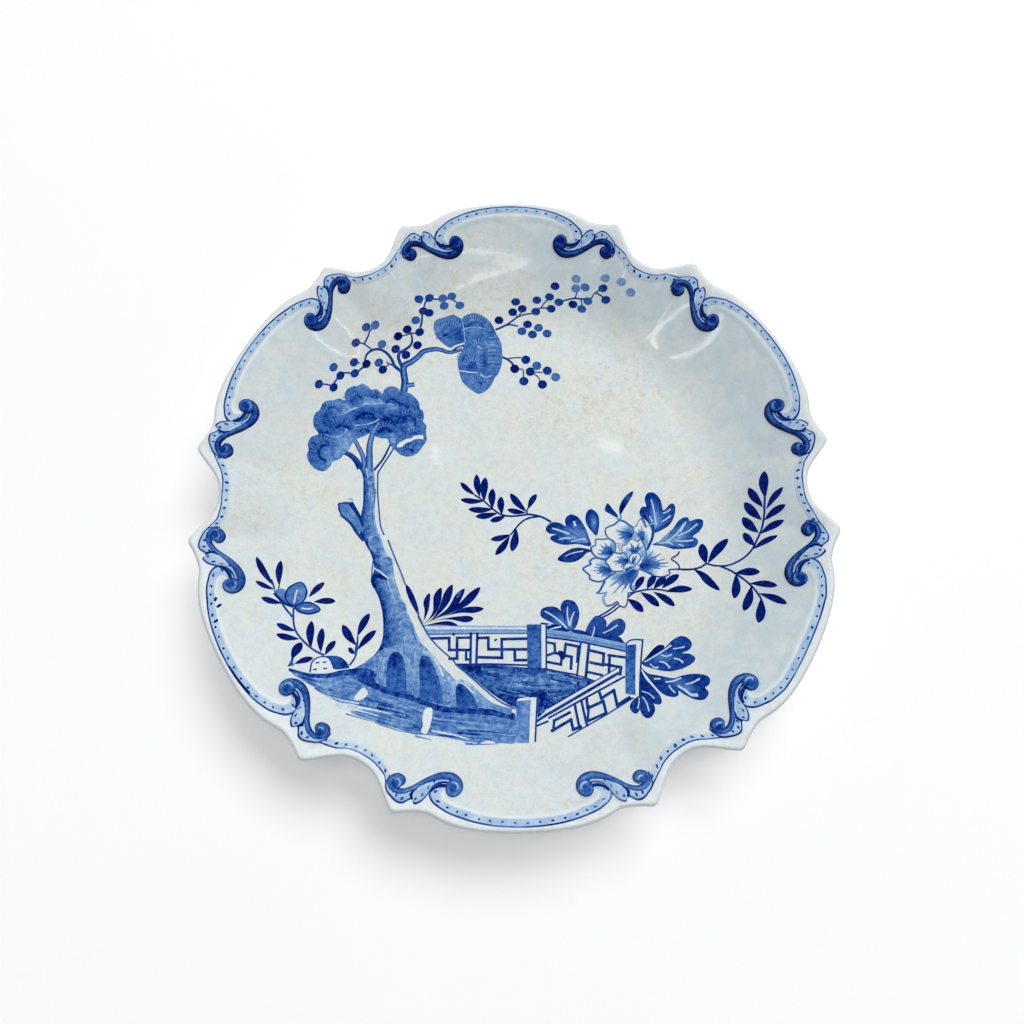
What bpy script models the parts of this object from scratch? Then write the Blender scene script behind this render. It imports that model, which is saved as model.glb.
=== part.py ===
"""Shallow lobed dessert dish of glazed earthenware on a low foot ring.

The rim has six round lobes parted by six hollow scallops, and a pointed cusp
stands on either side of every scallop. A pressed dish body carries the applied
clay mouldings: a border strip on each lobe, and a scroll with its leaf beside
each cusp. Every moulding and the foot ring is a separate piece of clay, seated on
the body with a thin joint of slip.

Lengths are metres, angles are degrees, +Z is up. The origin lies on the surface
that the foot ring stands on, below the middle of the dish.
"""

import math

import bmesh
import bpy

MM = 0.001

# Rim outline, seen from above: the cusps lie on the rim's circle, and the scallops,
# waists and lobe crowns are set in or out from it. Angles start in mid-scallop.
LOBE_COUNT = 6
RIM_RADIUS = 113.0 * MM
CUSP_ANGLE = 8.6
SCALLOP_DEPTH = 9.3 * MM
WAIST_ANGLE = 14.3
WAIST_DEPTH = 1.7 * MM
CROWN_RISE = 1.3 * MM
SCALLOP_EASE = 1.55
LOBE_EASE = 0.57

# Dish body, cut through its middle.
WELL_RADIUS = 70.0 * MM
FULL_LOBING_INSET = 8.0 * MM
DISH_DEPTH = 20.0 * MM
RIM_SLOPE = 20.0
FLOOR_THICKNESS = 4.6 * MM
RIM_THICKNESS = 3.6 * MM

# Foot ring, and the joint of slip that every applied piece is seated on.
FOOT_HEIGHT = 6.2 * MM
FOOT_INSET = 7.0 * MM
FOOT_SEAT_WIDTH = 9.0 * MM
FOOT_BATTER = 2.0 * MM
FOOT_TREAD_WIDTH = 4.5 * MM
FOOT_EDGE = 0.8 * MM
SLIP_JOINT = 0.3 * MM

# Applied mouldings: height of the relief for each unit of its half width.
RELIEF = 0.9
BORDER_INSET = 3.9 * MM
BORDER_HALF_WIDTH = 1.7 * MM
BORDER_LEAD = 20.5 * MM

# Knots of the mouldings beside a cusp, in millimetres: the distance from the cusp
# along the rim, the distance inwards from the cusp, and the half width there.
SCROLL_KNOTS = (
    (-2.5, 7.8, 0.9),
    (-1.1, 7.0, 2.0),
    (1.0, 5.9, 1.4),
    (3.3, 6.7, 1.2),
    (5.9, 10.1, 1.2),
    (8.1, 13.4, 1.3),
    (11.0, 15.8, 1.4),
    (14.5, 16.6, 1.4),
    (16.8, 15.3, 1.6),
    (17.7, 14.0, 2.1),
    (18.3, 12.7, 1.1),
)
LEAF_KNOTS = (
    (0.2, 3.3, 0.5),
    (3.1, 3.4, 0.9),
    (6.0, 5.5, 1.1),
    (8.4, 8.7, 0.9),
    (9.7, 11.5, 0.4),
)
HOOK_KNOTS = (
    (13.5, 12.8, 0.7),
    (12.1, 11.3, 1.4),
    (12.2, 9.4, 1.6),
    (14.3, 8.3, 1.7),
)

# Fineness of the meshes.
HALF_LOBE_STEPS = {"scallop": 3, "flare": 2, "lobe": 5}
WELL_RINGS = 2
WALL_RINGS = 7
LIP_STEPS = 4
FOOT_STEPS = 72
KNOT_STEPS = 2
BORDER_STEPS = 9

HALF_SECTOR = 180.0 / LOBE_COUNT
RIM_STEPS = 2 * LOBE_COUNT * sum(HALF_LOBE_STEPS.values())
WELL_HEIGHT = FOOT_HEIGHT + SLIP_JOINT + FLOOR_THICKNESS
LIP_RADIUS = RIM_THICKNESS / 2
FULL_LOBING_RADIUS = RIM_RADIUS - FULL_LOBING_INSET
BORDER_START_ANGLE = CUSP_ANGLE + math.degrees(BORDER_LEAD / RIM_RADIUS)


def ease(share):
    """Rises from 0 to 1 with level ends."""
    return share * share * (3 - 2 * share)


def clamp(value):
    return min(1.0, max(0.0, value))


def rim_radius(offset):
    """Radius of the rim at an angle from the middle of a scallop, up to half a sector."""
    if offset < CUSP_ANGLE:
        fall = 1 - ease((offset / CUSP_ANGLE) ** SCALLOP_EASE)
        return RIM_RADIUS - SCALLOP_DEPTH * fall
    if offset < WAIST_ANGLE:
        fall = ease((offset - CUSP_ANGLE) / (WAIST_ANGLE - CUSP_ANGLE))
        return RIM_RADIUS - WAIST_DEPTH * fall
    rise = ease(((offset - WAIST_ANGLE) / (HALF_SECTOR - WAIST_ANGLE)) ** LOBE_EASE)
    return RIM_RADIUS - WAIST_DEPTH + (WAIST_DEPTH + CROWN_RISE) * rise


def from_scallop(angle):
    """Angle to the middle of the nearest scallop."""
    return abs((angle + HALF_SECTOR) % (2 * HALF_SECTOR) - HALF_SECTOR)


def lobing(radius, angle):
    """How far the rim's shape pushes a circle of this radius in or out, as a factor."""
    share = ease(clamp((radius - WELL_RADIUS) / (FULL_LOBING_RADIUS - WELL_RADIUS)))
    return 1 + (rim_radius(from_scallop(angle)) / RIM_RADIUS - 1) * share


def wall_share(radius):
    """0 at the edge of the well and 1 at the rim."""
    return clamp((radius - WELL_RADIUS) / (RIM_RADIUS - WELL_RADIUS))


def upper_height(radius):
    """Height of the dish's upper face on a round dish, before its rim is lobed."""
    share = wall_share(radius)
    run = math.tan(math.radians(RIM_SLOPE)) * (RIM_RADIUS - WELL_RADIUS)
    return WELL_HEIGHT + DISH_DEPTH * ease(share) + run * (share**3 - share**2)


def upper_slope(radius):
    step = 0.1 * MM
    return (upper_height(radius + step) - upper_height(radius - step)) / (2 * step)


def lower_height(radius):
    """Height of the under face: the upper one less the wall, measured square to it."""
    thickness = FLOOR_THICKNESS + (RIM_THICKNESS - FLOOR_THICKNESS) * wall_share(radius)
    return upper_height(radius) - thickness * math.hypot(1, upper_slope(radius))


def surface_height(x, y):
    """Height of the finished upper face over a point of the plan."""
    angle = math.degrees(math.atan2(y, x))
    reach = math.hypot(x, y)
    radius = reach
    for _ in range(8):
        radius = reach / lobing(radius, angle)
    return upper_height(radius)


def material(name, colour, roughness):
    made = bpy.data.materials.new(name)
    made.use_nodes = True
    shader = made.node_tree.nodes["Principled BSDF"]
    shader.inputs["Base Color"].default_value = (*colour, 1)
    shader.inputs["Roughness"].default_value = roughness
    shader.inputs["Metallic"].default_value = 0
    return made


def add_object(name, data, finish):
    made = bpy.data.objects.new(name, data)
    data.materials.append(finish)
    dish.objects.link(made)
    return made


def evaluated_mesh(obj):
    bpy.context.view_layer.update()
    graph = bpy.context.evaluated_depsgraph_get()
    mesh = bpy.data.meshes.new_from_object(obj.evaluated_get(graph))
    shaped = bmesh.new()
    shaped.from_mesh(mesh)
    bmesh.ops.remove_doubles(shaped, verts=shaped.verts, dist=0.000001)
    bmesh.ops.recalc_face_normals(shaped, faces=shaped.faces)
    shaped.to_mesh(mesh)
    shaped.free()
    return mesh


def turned_mesh(profile, steps):
    """Mesh of a (radius, height) profile turned about the Z axis by a Screw modifier."""
    outline = bpy.data.meshes.new("profile")
    edges = [(i, i + 1) for i in range(len(profile) - 1)]
    outline.from_pydata([(radius, 0, height) for radius, height in profile], edges, [])
    lathe = bpy.data.objects.new("lathe", outline)
    bpy.context.scene.collection.objects.link(lathe)
    screw = lathe.modifiers.new("turn", "SCREW")
    screw.steps = steps
    screw.render_steps = steps
    screw.use_merge_vertices = True
    screw.merge_threshold = 0.00001
    mesh = evaluated_mesh(lathe)
    bpy.data.objects.remove(lathe)
    return mesh


def body_profile():
    """Section of the body from the middle of the well over the lip to the middle below."""
    crest = RIM_RADIUS - LIP_RADIUS
    radii = [WELL_RADIUS * i / WELL_RINGS for i in range(WELL_RINGS)]
    radii += [WELL_RADIUS + (crest - WELL_RADIUS) * i / WALL_RINGS for i in range(WALL_RINGS + 1)]
    upper = [(radius, upper_height(radius)) for radius in radii]
    lower = [(radius, lower_height(radius)) for radius in reversed(radii)]
    middle = (upper[-1][1] + lower[0][1]) / 2
    half = (upper[-1][1] - lower[0][1]) / 2
    turns = [math.pi * i / LIP_STEPS for i in range(1, LIP_STEPS)]
    lip = [(crest + LIP_RADIUS * math.sin(a), middle + half * math.cos(a)) for a in turns]
    return upper + lip + lower


def stepped_angle(angle):
    """Moves evenly spaced rim steps so that one falls on every cusp, waist and crown."""
    evenly = 360.0 / RIM_STEPS
    places = [0, CUSP_ANGLE, WAIST_ANGLE, HALF_SECTOR]
    nearest = round(angle / (2 * HALF_SECTOR)) * 2 * HALF_SECTOR
    offset = angle - nearest
    steps = abs(offset) / evenly
    moved = 0.0
    for count, start, end in zip(HALF_LOBE_STEPS.values(), places, places[1:]):
        moved += (end - start) * clamp(steps / count)
        steps -= count
    return nearest + math.copysign(moved, offset)


def make_body(finish):
    """Turned blank whose wall is then pressed into lobes."""
    mesh = turned_mesh(body_profile(), RIM_STEPS)
    for vertex in mesh.vertices:
        x, y, z = vertex.co
        radius = math.hypot(x, y)
        angle = stepped_angle(math.degrees(math.atan2(y, x)))
        reach = radius * lobing(radius, angle)
        turn = math.radians(angle)
        vertex.co = (reach * math.cos(turn), reach * math.sin(turn), z)
    mesh.shade_smooth()
    return add_object("dish_body", mesh, finish)


def make_foot(finish):
    """Turned ring with a level tread, wider where it is seated on the body."""
    seat_outer = WELL_RADIUS - FOOT_INSET
    seat_inner = seat_outer - FOOT_SEAT_WIDTH
    tread_outer = seat_outer - FOOT_BATTER
    tread_inner = tread_outer - FOOT_TREAD_WIDTH
    half_edge = FOOT_EDGE / 2
    section = [
        (seat_inner, FOOT_HEIGHT),
        (seat_outer, FOOT_HEIGHT),
        (tread_outer + half_edge, FOOT_EDGE),
        (tread_outer - half_edge, 0),
        (tread_inner + half_edge, 0),
        (tread_inner - half_edge, FOOT_EDGE),
        (seat_inner, FOOT_HEIGHT),
    ]
    return add_object("foot_ring", turned_mesh(section, FOOT_STEPS), finish)


def beside_cusp(scallop, side, along, inwards):
    """Plan point from its distances to a cusp, on the left (1) or right (-1) of a scallop."""
    middle = math.radians(2 * HALF_SECTOR * scallop)
    cusp = math.radians(CUSP_ANGLE)
    outward = RIM_RADIUS * math.cos(cusp) - inwards
    sideways = side * (RIM_RADIUS * math.sin(cusp) + along)
    x = outward * math.cos(middle) - sideways * math.sin(middle)
    y = outward * math.sin(middle) + sideways * math.cos(middle)
    return x, y


def placed_knots(knots, scallop, side):
    """Knots as (x, y, half width) in metres on the plan."""
    return [
        (*beside_cusp(scallop, side, along * MM, inwards * MM), half * MM)
        for along, inwards, half in knots
    ]


def smooth_path(knots):
    """Points of a smooth curve through the knots, a few for each stretch."""
    padded = [knots[0], *knots, knots[-1]]
    path = []
    for a, b, c, d in zip(padded, padded[1:], padded[2:], padded[3:]):
        for i in range(KNOT_STEPS):
            t = i / KNOT_STEPS
            path.append(tuple(
                q + t / 2 * (r - p + t * (2 * p - 5 * q + 4 * r - s + t * (3 * (q - r) + s - p)))
                for p, q, r, s in zip(a, b, c, d)
            ))
    path.append(knots[-1])
    return path


def make_moulding(name, path, finish):
    """Strip of half-round relief along a plan path, laid on the dish over its slip joint."""
    curve = bpy.data.curves.new(name, "CURVE")
    curve.dimensions = "3D"
    curve.bevel_depth = MM
    curve.bevel_resolution = 1
    curve.use_fill_caps = True
    spline = curve.splines.new("POLY")
    spline.points.add(len(path) - 1)
    for point, (x, y, half) in zip(spline.points, path):
        point.co = (x, y, 0, 1)
        point.radius = half / MM
    guide = bpy.data.objects.new("guide", curve)
    bpy.context.scene.collection.objects.link(guide)
    mesh = evaluated_mesh(guide)
    bpy.data.objects.remove(guide)
    for vertex in mesh.vertices:
        x, y, z = vertex.co
        vertex.co.z = surface_height(x, y) + SLIP_JOINT + RELIEF * max(z, 0)
    mesh.shade_smooth()
    return add_object(name, mesh, finish)


def border_path(scallop):
    """Path of a lobe's border: in one hook, along the lobe, and out in the next hook."""
    lobe_start = 2 * HALF_SECTOR * scallop
    first = placed_knots(HOOK_KNOTS, scallop, 1)
    last = placed_knots(HOOK_KNOTS, scallop + 1, -1)
    span = 2 * (HALF_SECTOR - BORDER_START_ANGLE)
    along = []
    for i in range(BORDER_STEPS + 1):
        angle = BORDER_START_ANGLE + span * i / BORDER_STEPS
        radius = rim_radius(from_scallop(angle)) - BORDER_INSET
        turn = math.radians(lobe_start + angle)
        along.append((radius * math.cos(turn), radius * math.sin(turn), BORDER_HALF_WIDTH))
    hook = smooth_path([*first, along[0]])[:-1]
    unhook = smooth_path([along[-1], *reversed(last)])[1:]
    return hook + along + unhook


for leftover in list(bpy.data.objects):
    bpy.data.objects.remove(leftover)
dish = bpy.data.collections.new("compote_dish")
bpy.context.scene.collection.children.link(dish)

white_glaze = material("white_glaze", (0.72, 0.77, 0.79), 0.12)
biscuit = material("foot_glaze", (0.66, 0.68, 0.66), 0.35)
dark_cobalt = material("dark_cobalt", (0.02, 0.06, 0.33), 0.12)
pale_cobalt = material("pale_cobalt", (0.33, 0.46, 0.70), 0.12)

make_body(white_glaze)
make_foot(biscuit)
for number in range(LOBE_COUNT):
    make_moulding(f"lobe_border_{number + 1}", border_path(number), pale_cobalt)
    for side, word in ((1, "left"), (-1, "right")):
        scroll = smooth_path(placed_knots(SCROLL_KNOTS, number, side))
        make_moulding(f"scroll_{number + 1}_{word}", scroll, dark_cobalt)
        leaf = smooth_path(placed_knots(LEAF_KNOTS, number, side))
        make_moulding(f"leaf_{number + 1}_{word}", leaf, pale_cobalt)
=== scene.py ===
import math
import random

import bmesh
import bpy
from mathutils import Matrix, Vector


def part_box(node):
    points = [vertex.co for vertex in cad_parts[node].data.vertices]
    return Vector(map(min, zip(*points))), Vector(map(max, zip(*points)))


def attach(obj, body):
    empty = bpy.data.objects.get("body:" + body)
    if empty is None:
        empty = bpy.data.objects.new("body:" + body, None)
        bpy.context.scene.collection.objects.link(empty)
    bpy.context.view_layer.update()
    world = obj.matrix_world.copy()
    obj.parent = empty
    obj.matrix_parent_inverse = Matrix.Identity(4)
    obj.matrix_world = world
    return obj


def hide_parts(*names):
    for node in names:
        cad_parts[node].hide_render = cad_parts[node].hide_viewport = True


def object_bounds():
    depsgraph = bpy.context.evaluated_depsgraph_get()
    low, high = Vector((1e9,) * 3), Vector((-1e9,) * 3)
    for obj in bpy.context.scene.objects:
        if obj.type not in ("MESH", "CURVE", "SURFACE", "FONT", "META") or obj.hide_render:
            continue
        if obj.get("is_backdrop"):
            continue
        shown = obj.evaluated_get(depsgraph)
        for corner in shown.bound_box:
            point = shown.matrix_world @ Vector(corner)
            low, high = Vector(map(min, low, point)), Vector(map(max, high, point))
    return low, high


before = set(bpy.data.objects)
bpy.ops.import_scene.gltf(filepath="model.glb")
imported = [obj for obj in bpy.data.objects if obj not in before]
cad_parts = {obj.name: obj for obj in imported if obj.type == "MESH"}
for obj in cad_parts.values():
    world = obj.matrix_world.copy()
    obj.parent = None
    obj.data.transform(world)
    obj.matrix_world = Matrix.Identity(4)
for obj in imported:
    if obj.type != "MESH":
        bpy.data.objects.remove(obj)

cad_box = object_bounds()

# The dish body: one shallow six-lobed dish of white earthenware, pressed over a mould.
# It is glazed all over. The glaze lies thick and faintly blue on the wall, and age has
# left pale brown stains, specks and fine crazing in the well.
MM = 0.001
LOBE_COUNT = 6
HALF_SECTOR = 180 / LOBE_COUNT
CUSP_ANGLE = 8.6
CUSP_REACH = 0.95
CUSP_ROUNDING = 1.5
WAIST_ANGLE = 14
WAIST_ROUNDING = 0.05
SCALLOP_DEPTH = 9.9
SCALLOP_EASE = 1.55
WAIST_DEPTH = 2.8
CROWN_RISE = -0.1
LOBE_SWELL = (0, 2.3, -0.5, 0.3, -1.5, 0.9)
SWELL_START = 3
LOBE_FULLNESS = 5
WELL_RADIUS = 70
FULL_LOBING_INSET = 9.2
LOBING_ROUNDS = 8
SCALLOP_DIP = 0.55
DISH_DEPTH = 20
RIM_SLOPE = math.tan(math.radians(20))
FLOOR_THICKNESS = 4.6
RIM_THICKNESS = 3.6
WELD_REACH = 0.0005
WELL_RINGS = 22
WALL_RINGS = 38
LIP_STEPS = 10
SCALLOP_STEPS = 18
FLARE_STEPS = 10
LOBE_STEPS = 16
RIM_STEPS = 2 * LOBE_COUNT * (SCALLOP_STEPS + FLARE_STEPS + LOBE_STEPS)

dish_low, dish_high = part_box("dish_body")
RIM_RADIUS = dish_high.y / MM + CUSP_REACH
WELL_HEIGHT = dish_low.z / MM + FLOOR_THICKNESS


def ease(share):
    """Rises from 0 to 1 with level ends."""
    return share * share * (3 - 2 * share)


def clamp(value):
    return min(1.0, max(0.0, value))


def from_scallop(angle):
    """Angle to the middle of the nearest scallop."""
    return abs((angle + HALF_SECTOR) % (2 * HALF_SECTOR) - HALF_SECTOR)


def lobe_swell(angle):
    """How far the lobe at an angle was pressed out, growing from its scallops to its crown."""
    share = clamp((from_scallop(angle) - SWELL_START) / (HALF_SECTOR - SWELL_START))
    return LOBE_SWELL[int(angle % 360 // (2 * HALF_SECTOR))] * math.sin(math.pi / 2 * share)


def rim_radius(angle):
    """Radius of the rim at an angle round the dish: a hollow scallop and a lobe that falls
    from the cusp to a waist and swells to its crown, blended to a round nose where they meet."""
    offset = from_scallop(angle)
    share = offset / CUSP_ANGLE
    hollow = SCALLOP_DEPTH * (share - 1)
    if share < 1:
        hollow = SCALLOP_DEPTH * ((share**2 + ease(share**SCALLOP_EASE)) / 2 - 1)
    share = (offset - CUSP_ANGLE) / (WAIST_ANGLE - CUSP_ANGLE)
    lobe = WAIST_DEPTH * ((1 - share) ** 2 - 1)
    if share > 1:
        share = (offset - WAIST_ANGLE) / (HALF_SECTOR - WAIST_ANGLE)
        rise = 1 - (1 - share**2 / (share + WAIST_ROUNDING)) ** LOBE_FULLNESS
        lobe = (WAIST_DEPTH + CROWN_RISE) * rise - WAIST_DEPTH
    part = clamp(0.5 + (lobe - hollow) / CUSP_ROUNDING / 2)
    nose = lobe + (hollow - lobe) * part - CUSP_ROUNDING * part * (1 - part)
    return RIM_RADIUS + nose + lobe_swell(angle)


def lobing(radius, angle):
    """How far the rim's shape pushes a circle of this radius in or out, as a factor."""
    share = (radius - WELL_RADIUS) / (RIM_RADIUS - FULL_LOBING_INSET - WELL_RADIUS)
    return 1 + (rim_radius(angle) / RIM_RADIUS - 1) * ease(clamp(share))


def wall_share(radius):
    """0 at the edge of the well and 1 at the rim."""
    return clamp((radius - WELL_RADIUS) / (RIM_RADIUS - WELL_RADIUS))


def upper_height(radius):
    """Height of the dish's upper face on a round dish, before its rim is lobed."""
    share = wall_share(radius)
    run = RIM_SLOPE * (RIM_RADIUS - WELL_RADIUS)
    return WELL_HEIGHT + DISH_DEPTH * ease(share) + run * (share**3 - share**2)


def lower_height(radius):
    """Height of the under face: the upper one less the wall, measured square to it."""
    step = 0.1
    slope = (upper_height(radius + step) - upper_height(radius - step)) / (2 * step)
    thickness = FLOOR_THICKNESS + (RIM_THICKNESS - FLOOR_THICKNESS) * wall_share(radius)
    return upper_height(radius) - thickness * math.hypot(1, slope)


def rim_dip(radius, reach):
    """How far the face sinks or rises where the lobing has moved it in or out to this reach."""
    return upper_height(radius + SCALLOP_DIP * (reach - radius)) - upper_height(radius)


def surface_height(x, y):
    """Height of the finished upper face over a point of the plan."""
    angle = math.degrees(math.atan2(y, x))
    reach = math.hypot(x, y)
    radius = reach
    for _ in range(LOBING_ROUNDS):
        radius = reach / lobing(radius, angle)
    return upper_height(radius) + rim_dip(radius, reach)


def body_section():
    """Section of the body from the middle of the well over the lip to the middle below."""
    lip_radius = RIM_THICKNESS / 2
    crest = RIM_RADIUS - lip_radius
    radii = [WELL_RADIUS * i / WELL_RINGS for i in range(WELL_RINGS)]
    radii += [WELL_RADIUS + (crest - WELL_RADIUS) * i / WALL_RINGS for i in range(WALL_RINGS + 1)]
    upper = [(radius, upper_height(radius)) for radius in radii]
    lower = [(radius, lower_height(radius)) for radius in reversed(radii)]
    middle = (upper[-1][1] + lower[0][1]) / 2
    half = (upper[-1][1] - lower[0][1]) / 2
    turns = [math.pi * i / LIP_STEPS for i in range(1, LIP_STEPS)]
    lip = [(crest + lip_radius * math.sin(a), middle + half * math.cos(a)) for a in turns]
    return upper + lip + lower


def turned(section, steps):
    """A (radius, height) section turned once about the upright axis of the dish."""
    shape = bmesh.new()
    points = [shape.verts.new((radius, 0, height)) for radius, height in section]
    edges = [shape.edges.new(pair) for pair in zip(points, points[1:])]
    bmesh.ops.spin(
        shape, geom=points + edges, cent=(0, 0, 0), axis=(0, 0, 1),
        angle=2 * math.pi, steps=steps, use_merge=True,
    )
    bmesh.ops.remove_doubles(shape, verts=shape.verts, dist=WELD_REACH)
    bmesh.ops.recalc_face_normals(shape, faces=shape.faces)
    return shape


def stepped_angle(angle):
    """Moves evenly spaced rim steps so that one falls on every cusp, waist and crown."""
    counts = (SCALLOP_STEPS, FLARE_STEPS, LOBE_STEPS)
    places = (0, CUSP_ANGLE, WAIST_ANGLE, HALF_SECTOR)
    nearest = round(angle / (2 * HALF_SECTOR)) * 2 * HALF_SECTOR
    offset = angle - nearest
    steps = abs(offset) * RIM_STEPS / 360
    moved = 0.0
    for count, start, end in zip(counts, places, places[1:]):
        moved += (end - start) * clamp(steps / count)
        steps -= count
    return nearest + math.copysign(moved, offset)


def pigment(red, green, blue):
    """A colour by its 0 to 255 swatch, for a shader."""
    scaled = [value / 255 for value in (red, green, blue)]
    return (*[v / 12.92 if v < 0.04045 else ((v + 0.055) / 1.055) ** 2.4 for v in scaled], 1)


class Finish:
    """A socket of a material's nodes. Arithmetic on it adds Math nodes."""

    def __init__(self, tree, socket=None):
        self.tree = tree
        self.socket = socket

    def node(self, kind, settings=None, inputs=None, output=0):
        made = self.tree.nodes.new(kind)
        for name, value in (settings or {}).items():
            if name == "stops":
                self.fill_ramp(made.color_ramp.elements, value)
            else:
                setattr(made, name, value)
        for name, value in (inputs or {}).items():
            if isinstance(value, Finish):
                self.tree.links.new(value.socket, made.inputs[name])
            else:
                made.inputs[name].default_value = value
        return Finish(self.tree, made.outputs[output])

    def fill_ramp(self, elements, stops):
        while len(elements) < len(stops):
            elements.new(1.0)
        for element, (place, colour) in zip(elements, stops):
            element.position = place
            element.color = colour

    def maths(self, operation, *values):
        return self.node("ShaderNodeMath", {"operation": operation}, dict(enumerate(values)))

    def __add__(self, other):
        return self.maths("ADD", self, other)

    def __sub__(self, other):
        return self.maths("SUBTRACT", self, other)

    def __rsub__(self, other):
        return self.maths("SUBTRACT", other, self)

    def __mul__(self, other):
        return self.maths("MULTIPLY", self, other)

    def __truediv__(self, other):
        return self.maths("DIVIDE", self, other)

    __radd__ = __add__
    __rmul__ = __mul__

    def between(self, low, high):
        """0 below the low value and 1 above the high one, rising smoothly."""
        settings = {"interpolation_type": "SMOOTHSTEP"}
        return self.node("ShaderNodeMapRange", settings, {0: self, 1: low, 2: high})

    def mixed(self, first, second):
        """The first colour where this value is 0 and the second where it is 1."""
        settings = {"data_type": "RGBA", "clamp_factor": True}
        return self.node("ShaderNodeMix", settings, {0: self, 6: first, 7: second}, 2)

    def vectors(self, operation, first, second=(0, 0, 0), output=1):
        """Vector arithmetic, which gives a number at output 1 and a vector at output 0."""
        settings = {"operation": operation}
        return self.node("ShaderNodeVectorMath", settings, {0: first, 1: second}, output)

    def attribute(self, name):
        return self.node("ShaderNodeAttribute", {"attribute_name": name}, output="Fac")

    def place(self):
        return self.node("ShaderNodeTexCoord", output="Object")

    def cloud(self, scale, detail, stretch=(1, 1, 1)):
        """Noise of so many lumps to the metre, drawn out where stretch is small."""
        at = self.place()
        if stretch != (1, 1, 1):
            at = self.node("ShaderNodeMapping", {}, {"Vector": at, "Scale": stretch})
        inputs = {"Vector": at, "Scale": scale, "Detail": detail}
        return self.node("ShaderNodeTexNoise", {}, inputs)


def new_finish(name):
    """A new material and its nodes, which start from one Principled shader."""
    made = bpy.data.materials.new(name)
    made.use_nodes = True
    return made, Finish(made.node_tree)


GLAZE_IOR = 1.5
RIPPLE_HEIGHT = 0.0006


def fire_glaze(nodes, colour, roughness, bump, shine=0.5):
    """Feeds the shader: a hard clear glaze over the colour, very slightly wavy."""
    shader = nodes.tree.nodes["Principled BSDF"]
    shader.inputs["IOR"].default_value = GLAZE_IOR
    shader.inputs["Specular IOR Level"].default_value = shine
    wavy = nodes.cloud(95, 2) + nodes.cloud(420, 1) * 0.25
    waves = {"Strength": bump, "Distance": RIPPLE_HEIGHT, "Height": wavy}
    ripple = nodes.node("ShaderNodeBump", {}, waves)
    for socket, value in (("Base Color", colour), ("Roughness", roughness), ("Normal", ripple)):
        nodes.tree.links.new(value.socket, shader.inputs[socket])


GLAZE_COOL = pigment(217, 228, 231)
GLAZE_WARM = pigment(224, 228, 220)
GLAZE_POOLED = pigment(200, 215, 222)
# Whiter glaze for the lip and the ridge crests, partly painted light.
WHITE_GLAZE_AND_PAINTED_LIGHT = pigment(228, 236, 239)
GLAZE_FLECK = pigment(199, 180, 136)
GLAZE_SPECK = pigment(150, 130, 104)
GLAZE_CRAZE = pigment(186, 192, 192)
# Grey for the outermost edge of the rim: partly thin glaze over the body, partly painted shade.
THIN_EDGE_AND_PAINTED_SHADE = pigment(140, 150, 156)
GLAZE_RAN_TO = (0.75, 0.66, 0)
CRAZE_SCALE = 300
LIP_WIDTH = 6.0
STAIN_REACH = 0.06
STAIN_MIDDLES = ((0.042, 0.046, 0), (-0.012, 0.086, 0), (-0.044, 0.064, 0))


def glazed_colour(nodes):
    """Mottled white glaze with blue pools on the wall, and tan flecks, specks and crazing."""
    across = nodes.vectors("MULTIPLY", nodes.place(), (1, 1, 0), 0)
    radius = nodes.vectors("LENGTH", across)
    lip = nodes.attribute("lip")
    away = nodes.vectors("DOT_PRODUCT", nodes.place(), GLAZE_RAN_TO)
    ran = 0.3 + away.between(-0.09, 0.08) * 0.9
    clouded = nodes.cloud(22, 2) * 0.5 + nodes.cloud(150, 4).between(0.34, 0.66) * 0.9
    rubbed = lip.between(0.8, 1.0) * nodes.cloud(110, 3).between(0.62, 0.74)
    mottle = (nodes.cloud(700, 3) * 0.4 + nodes.cloud(110, 4) * 0.6).between(0.38, 0.62)
    near = STAIN_REACH
    for middle in STAIN_MIDDLES:
        near = nodes.maths("MINIMUM", near, nodes.vectors("DISTANCE", across, middle))
    stain = 1 - (near + (nodes.cloud(60, 2) - 0.5) * 0.03).between(0.008, 0.032)
    pool = radius.between(0.07, 0.1) * (0.25 + clouded) * ran * (1 - stain * 0.75)
    patchy = nodes.maths("MAXIMUM", nodes.cloud(26, 3).between(0.48, 0.7) * 0.8, stain)
    fleck = (nodes.cloud(330, 4) * 0.55 + nodes.cloud(1100, 2) * 0.45).between(0.47, 0.7) * patchy
    speck = nodes.cloud(1300, 1).between(0.74, 0.8) * nodes.cloud(45, 2).between(0.5, 0.6)
    cracks = nodes.node("ShaderNodeTexVoronoi", {"feature": "DISTANCE_TO_EDGE"},
                        {"Vector": nodes.place(), "Scale": CRAZE_SCALE})
    crazing = (1 - cracks.between(0.0, 0.04)) * nodes.cloud(30, 2).between(0.4, 0.65)
    colour = mottle.mixed(GLAZE_COOL, GLAZE_WARM)
    colour = (pool * 0.85).mixed(colour, GLAZE_POOLED)
    # Whiter towards the rim. It is partly thin white glaze over the lip and partly painted light that lifts
    # the shade on the rounded lip.
    colour = (lip.between(0.0, 0.35) * 0.85).mixed(colour, WHITE_GLAZE_AND_PAINTED_LIGHT)
    # A grey band round the outermost edge of the rim. It is partly glaze run thin over the body and partly
    # painted shade where the edge turns away from the light.
    colour = (lip.between(0.74, 0.9) * 0.5).mixed(colour, THIN_EDGE_AND_PAINTED_SHADE)
    colour = (fleck * 0.56 + rubbed * 0.16).mixed(colour, GLAZE_FLECK)
    colour = (speck * 0.6).mixed(colour, GLAZE_SPECK)
    colour = (crazing * 0.12).mixed(colour, GLAZE_CRAZE)
    clotted = nodes.cloud(1500, 2).between(0.4, 0.7) * 0.2
    clotted = clotted + nodes.cloud(420, 3).between(0.42, 0.68) * 0.19
    return clotted.mixed(colour, GLAZE_CRAZE)


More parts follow.
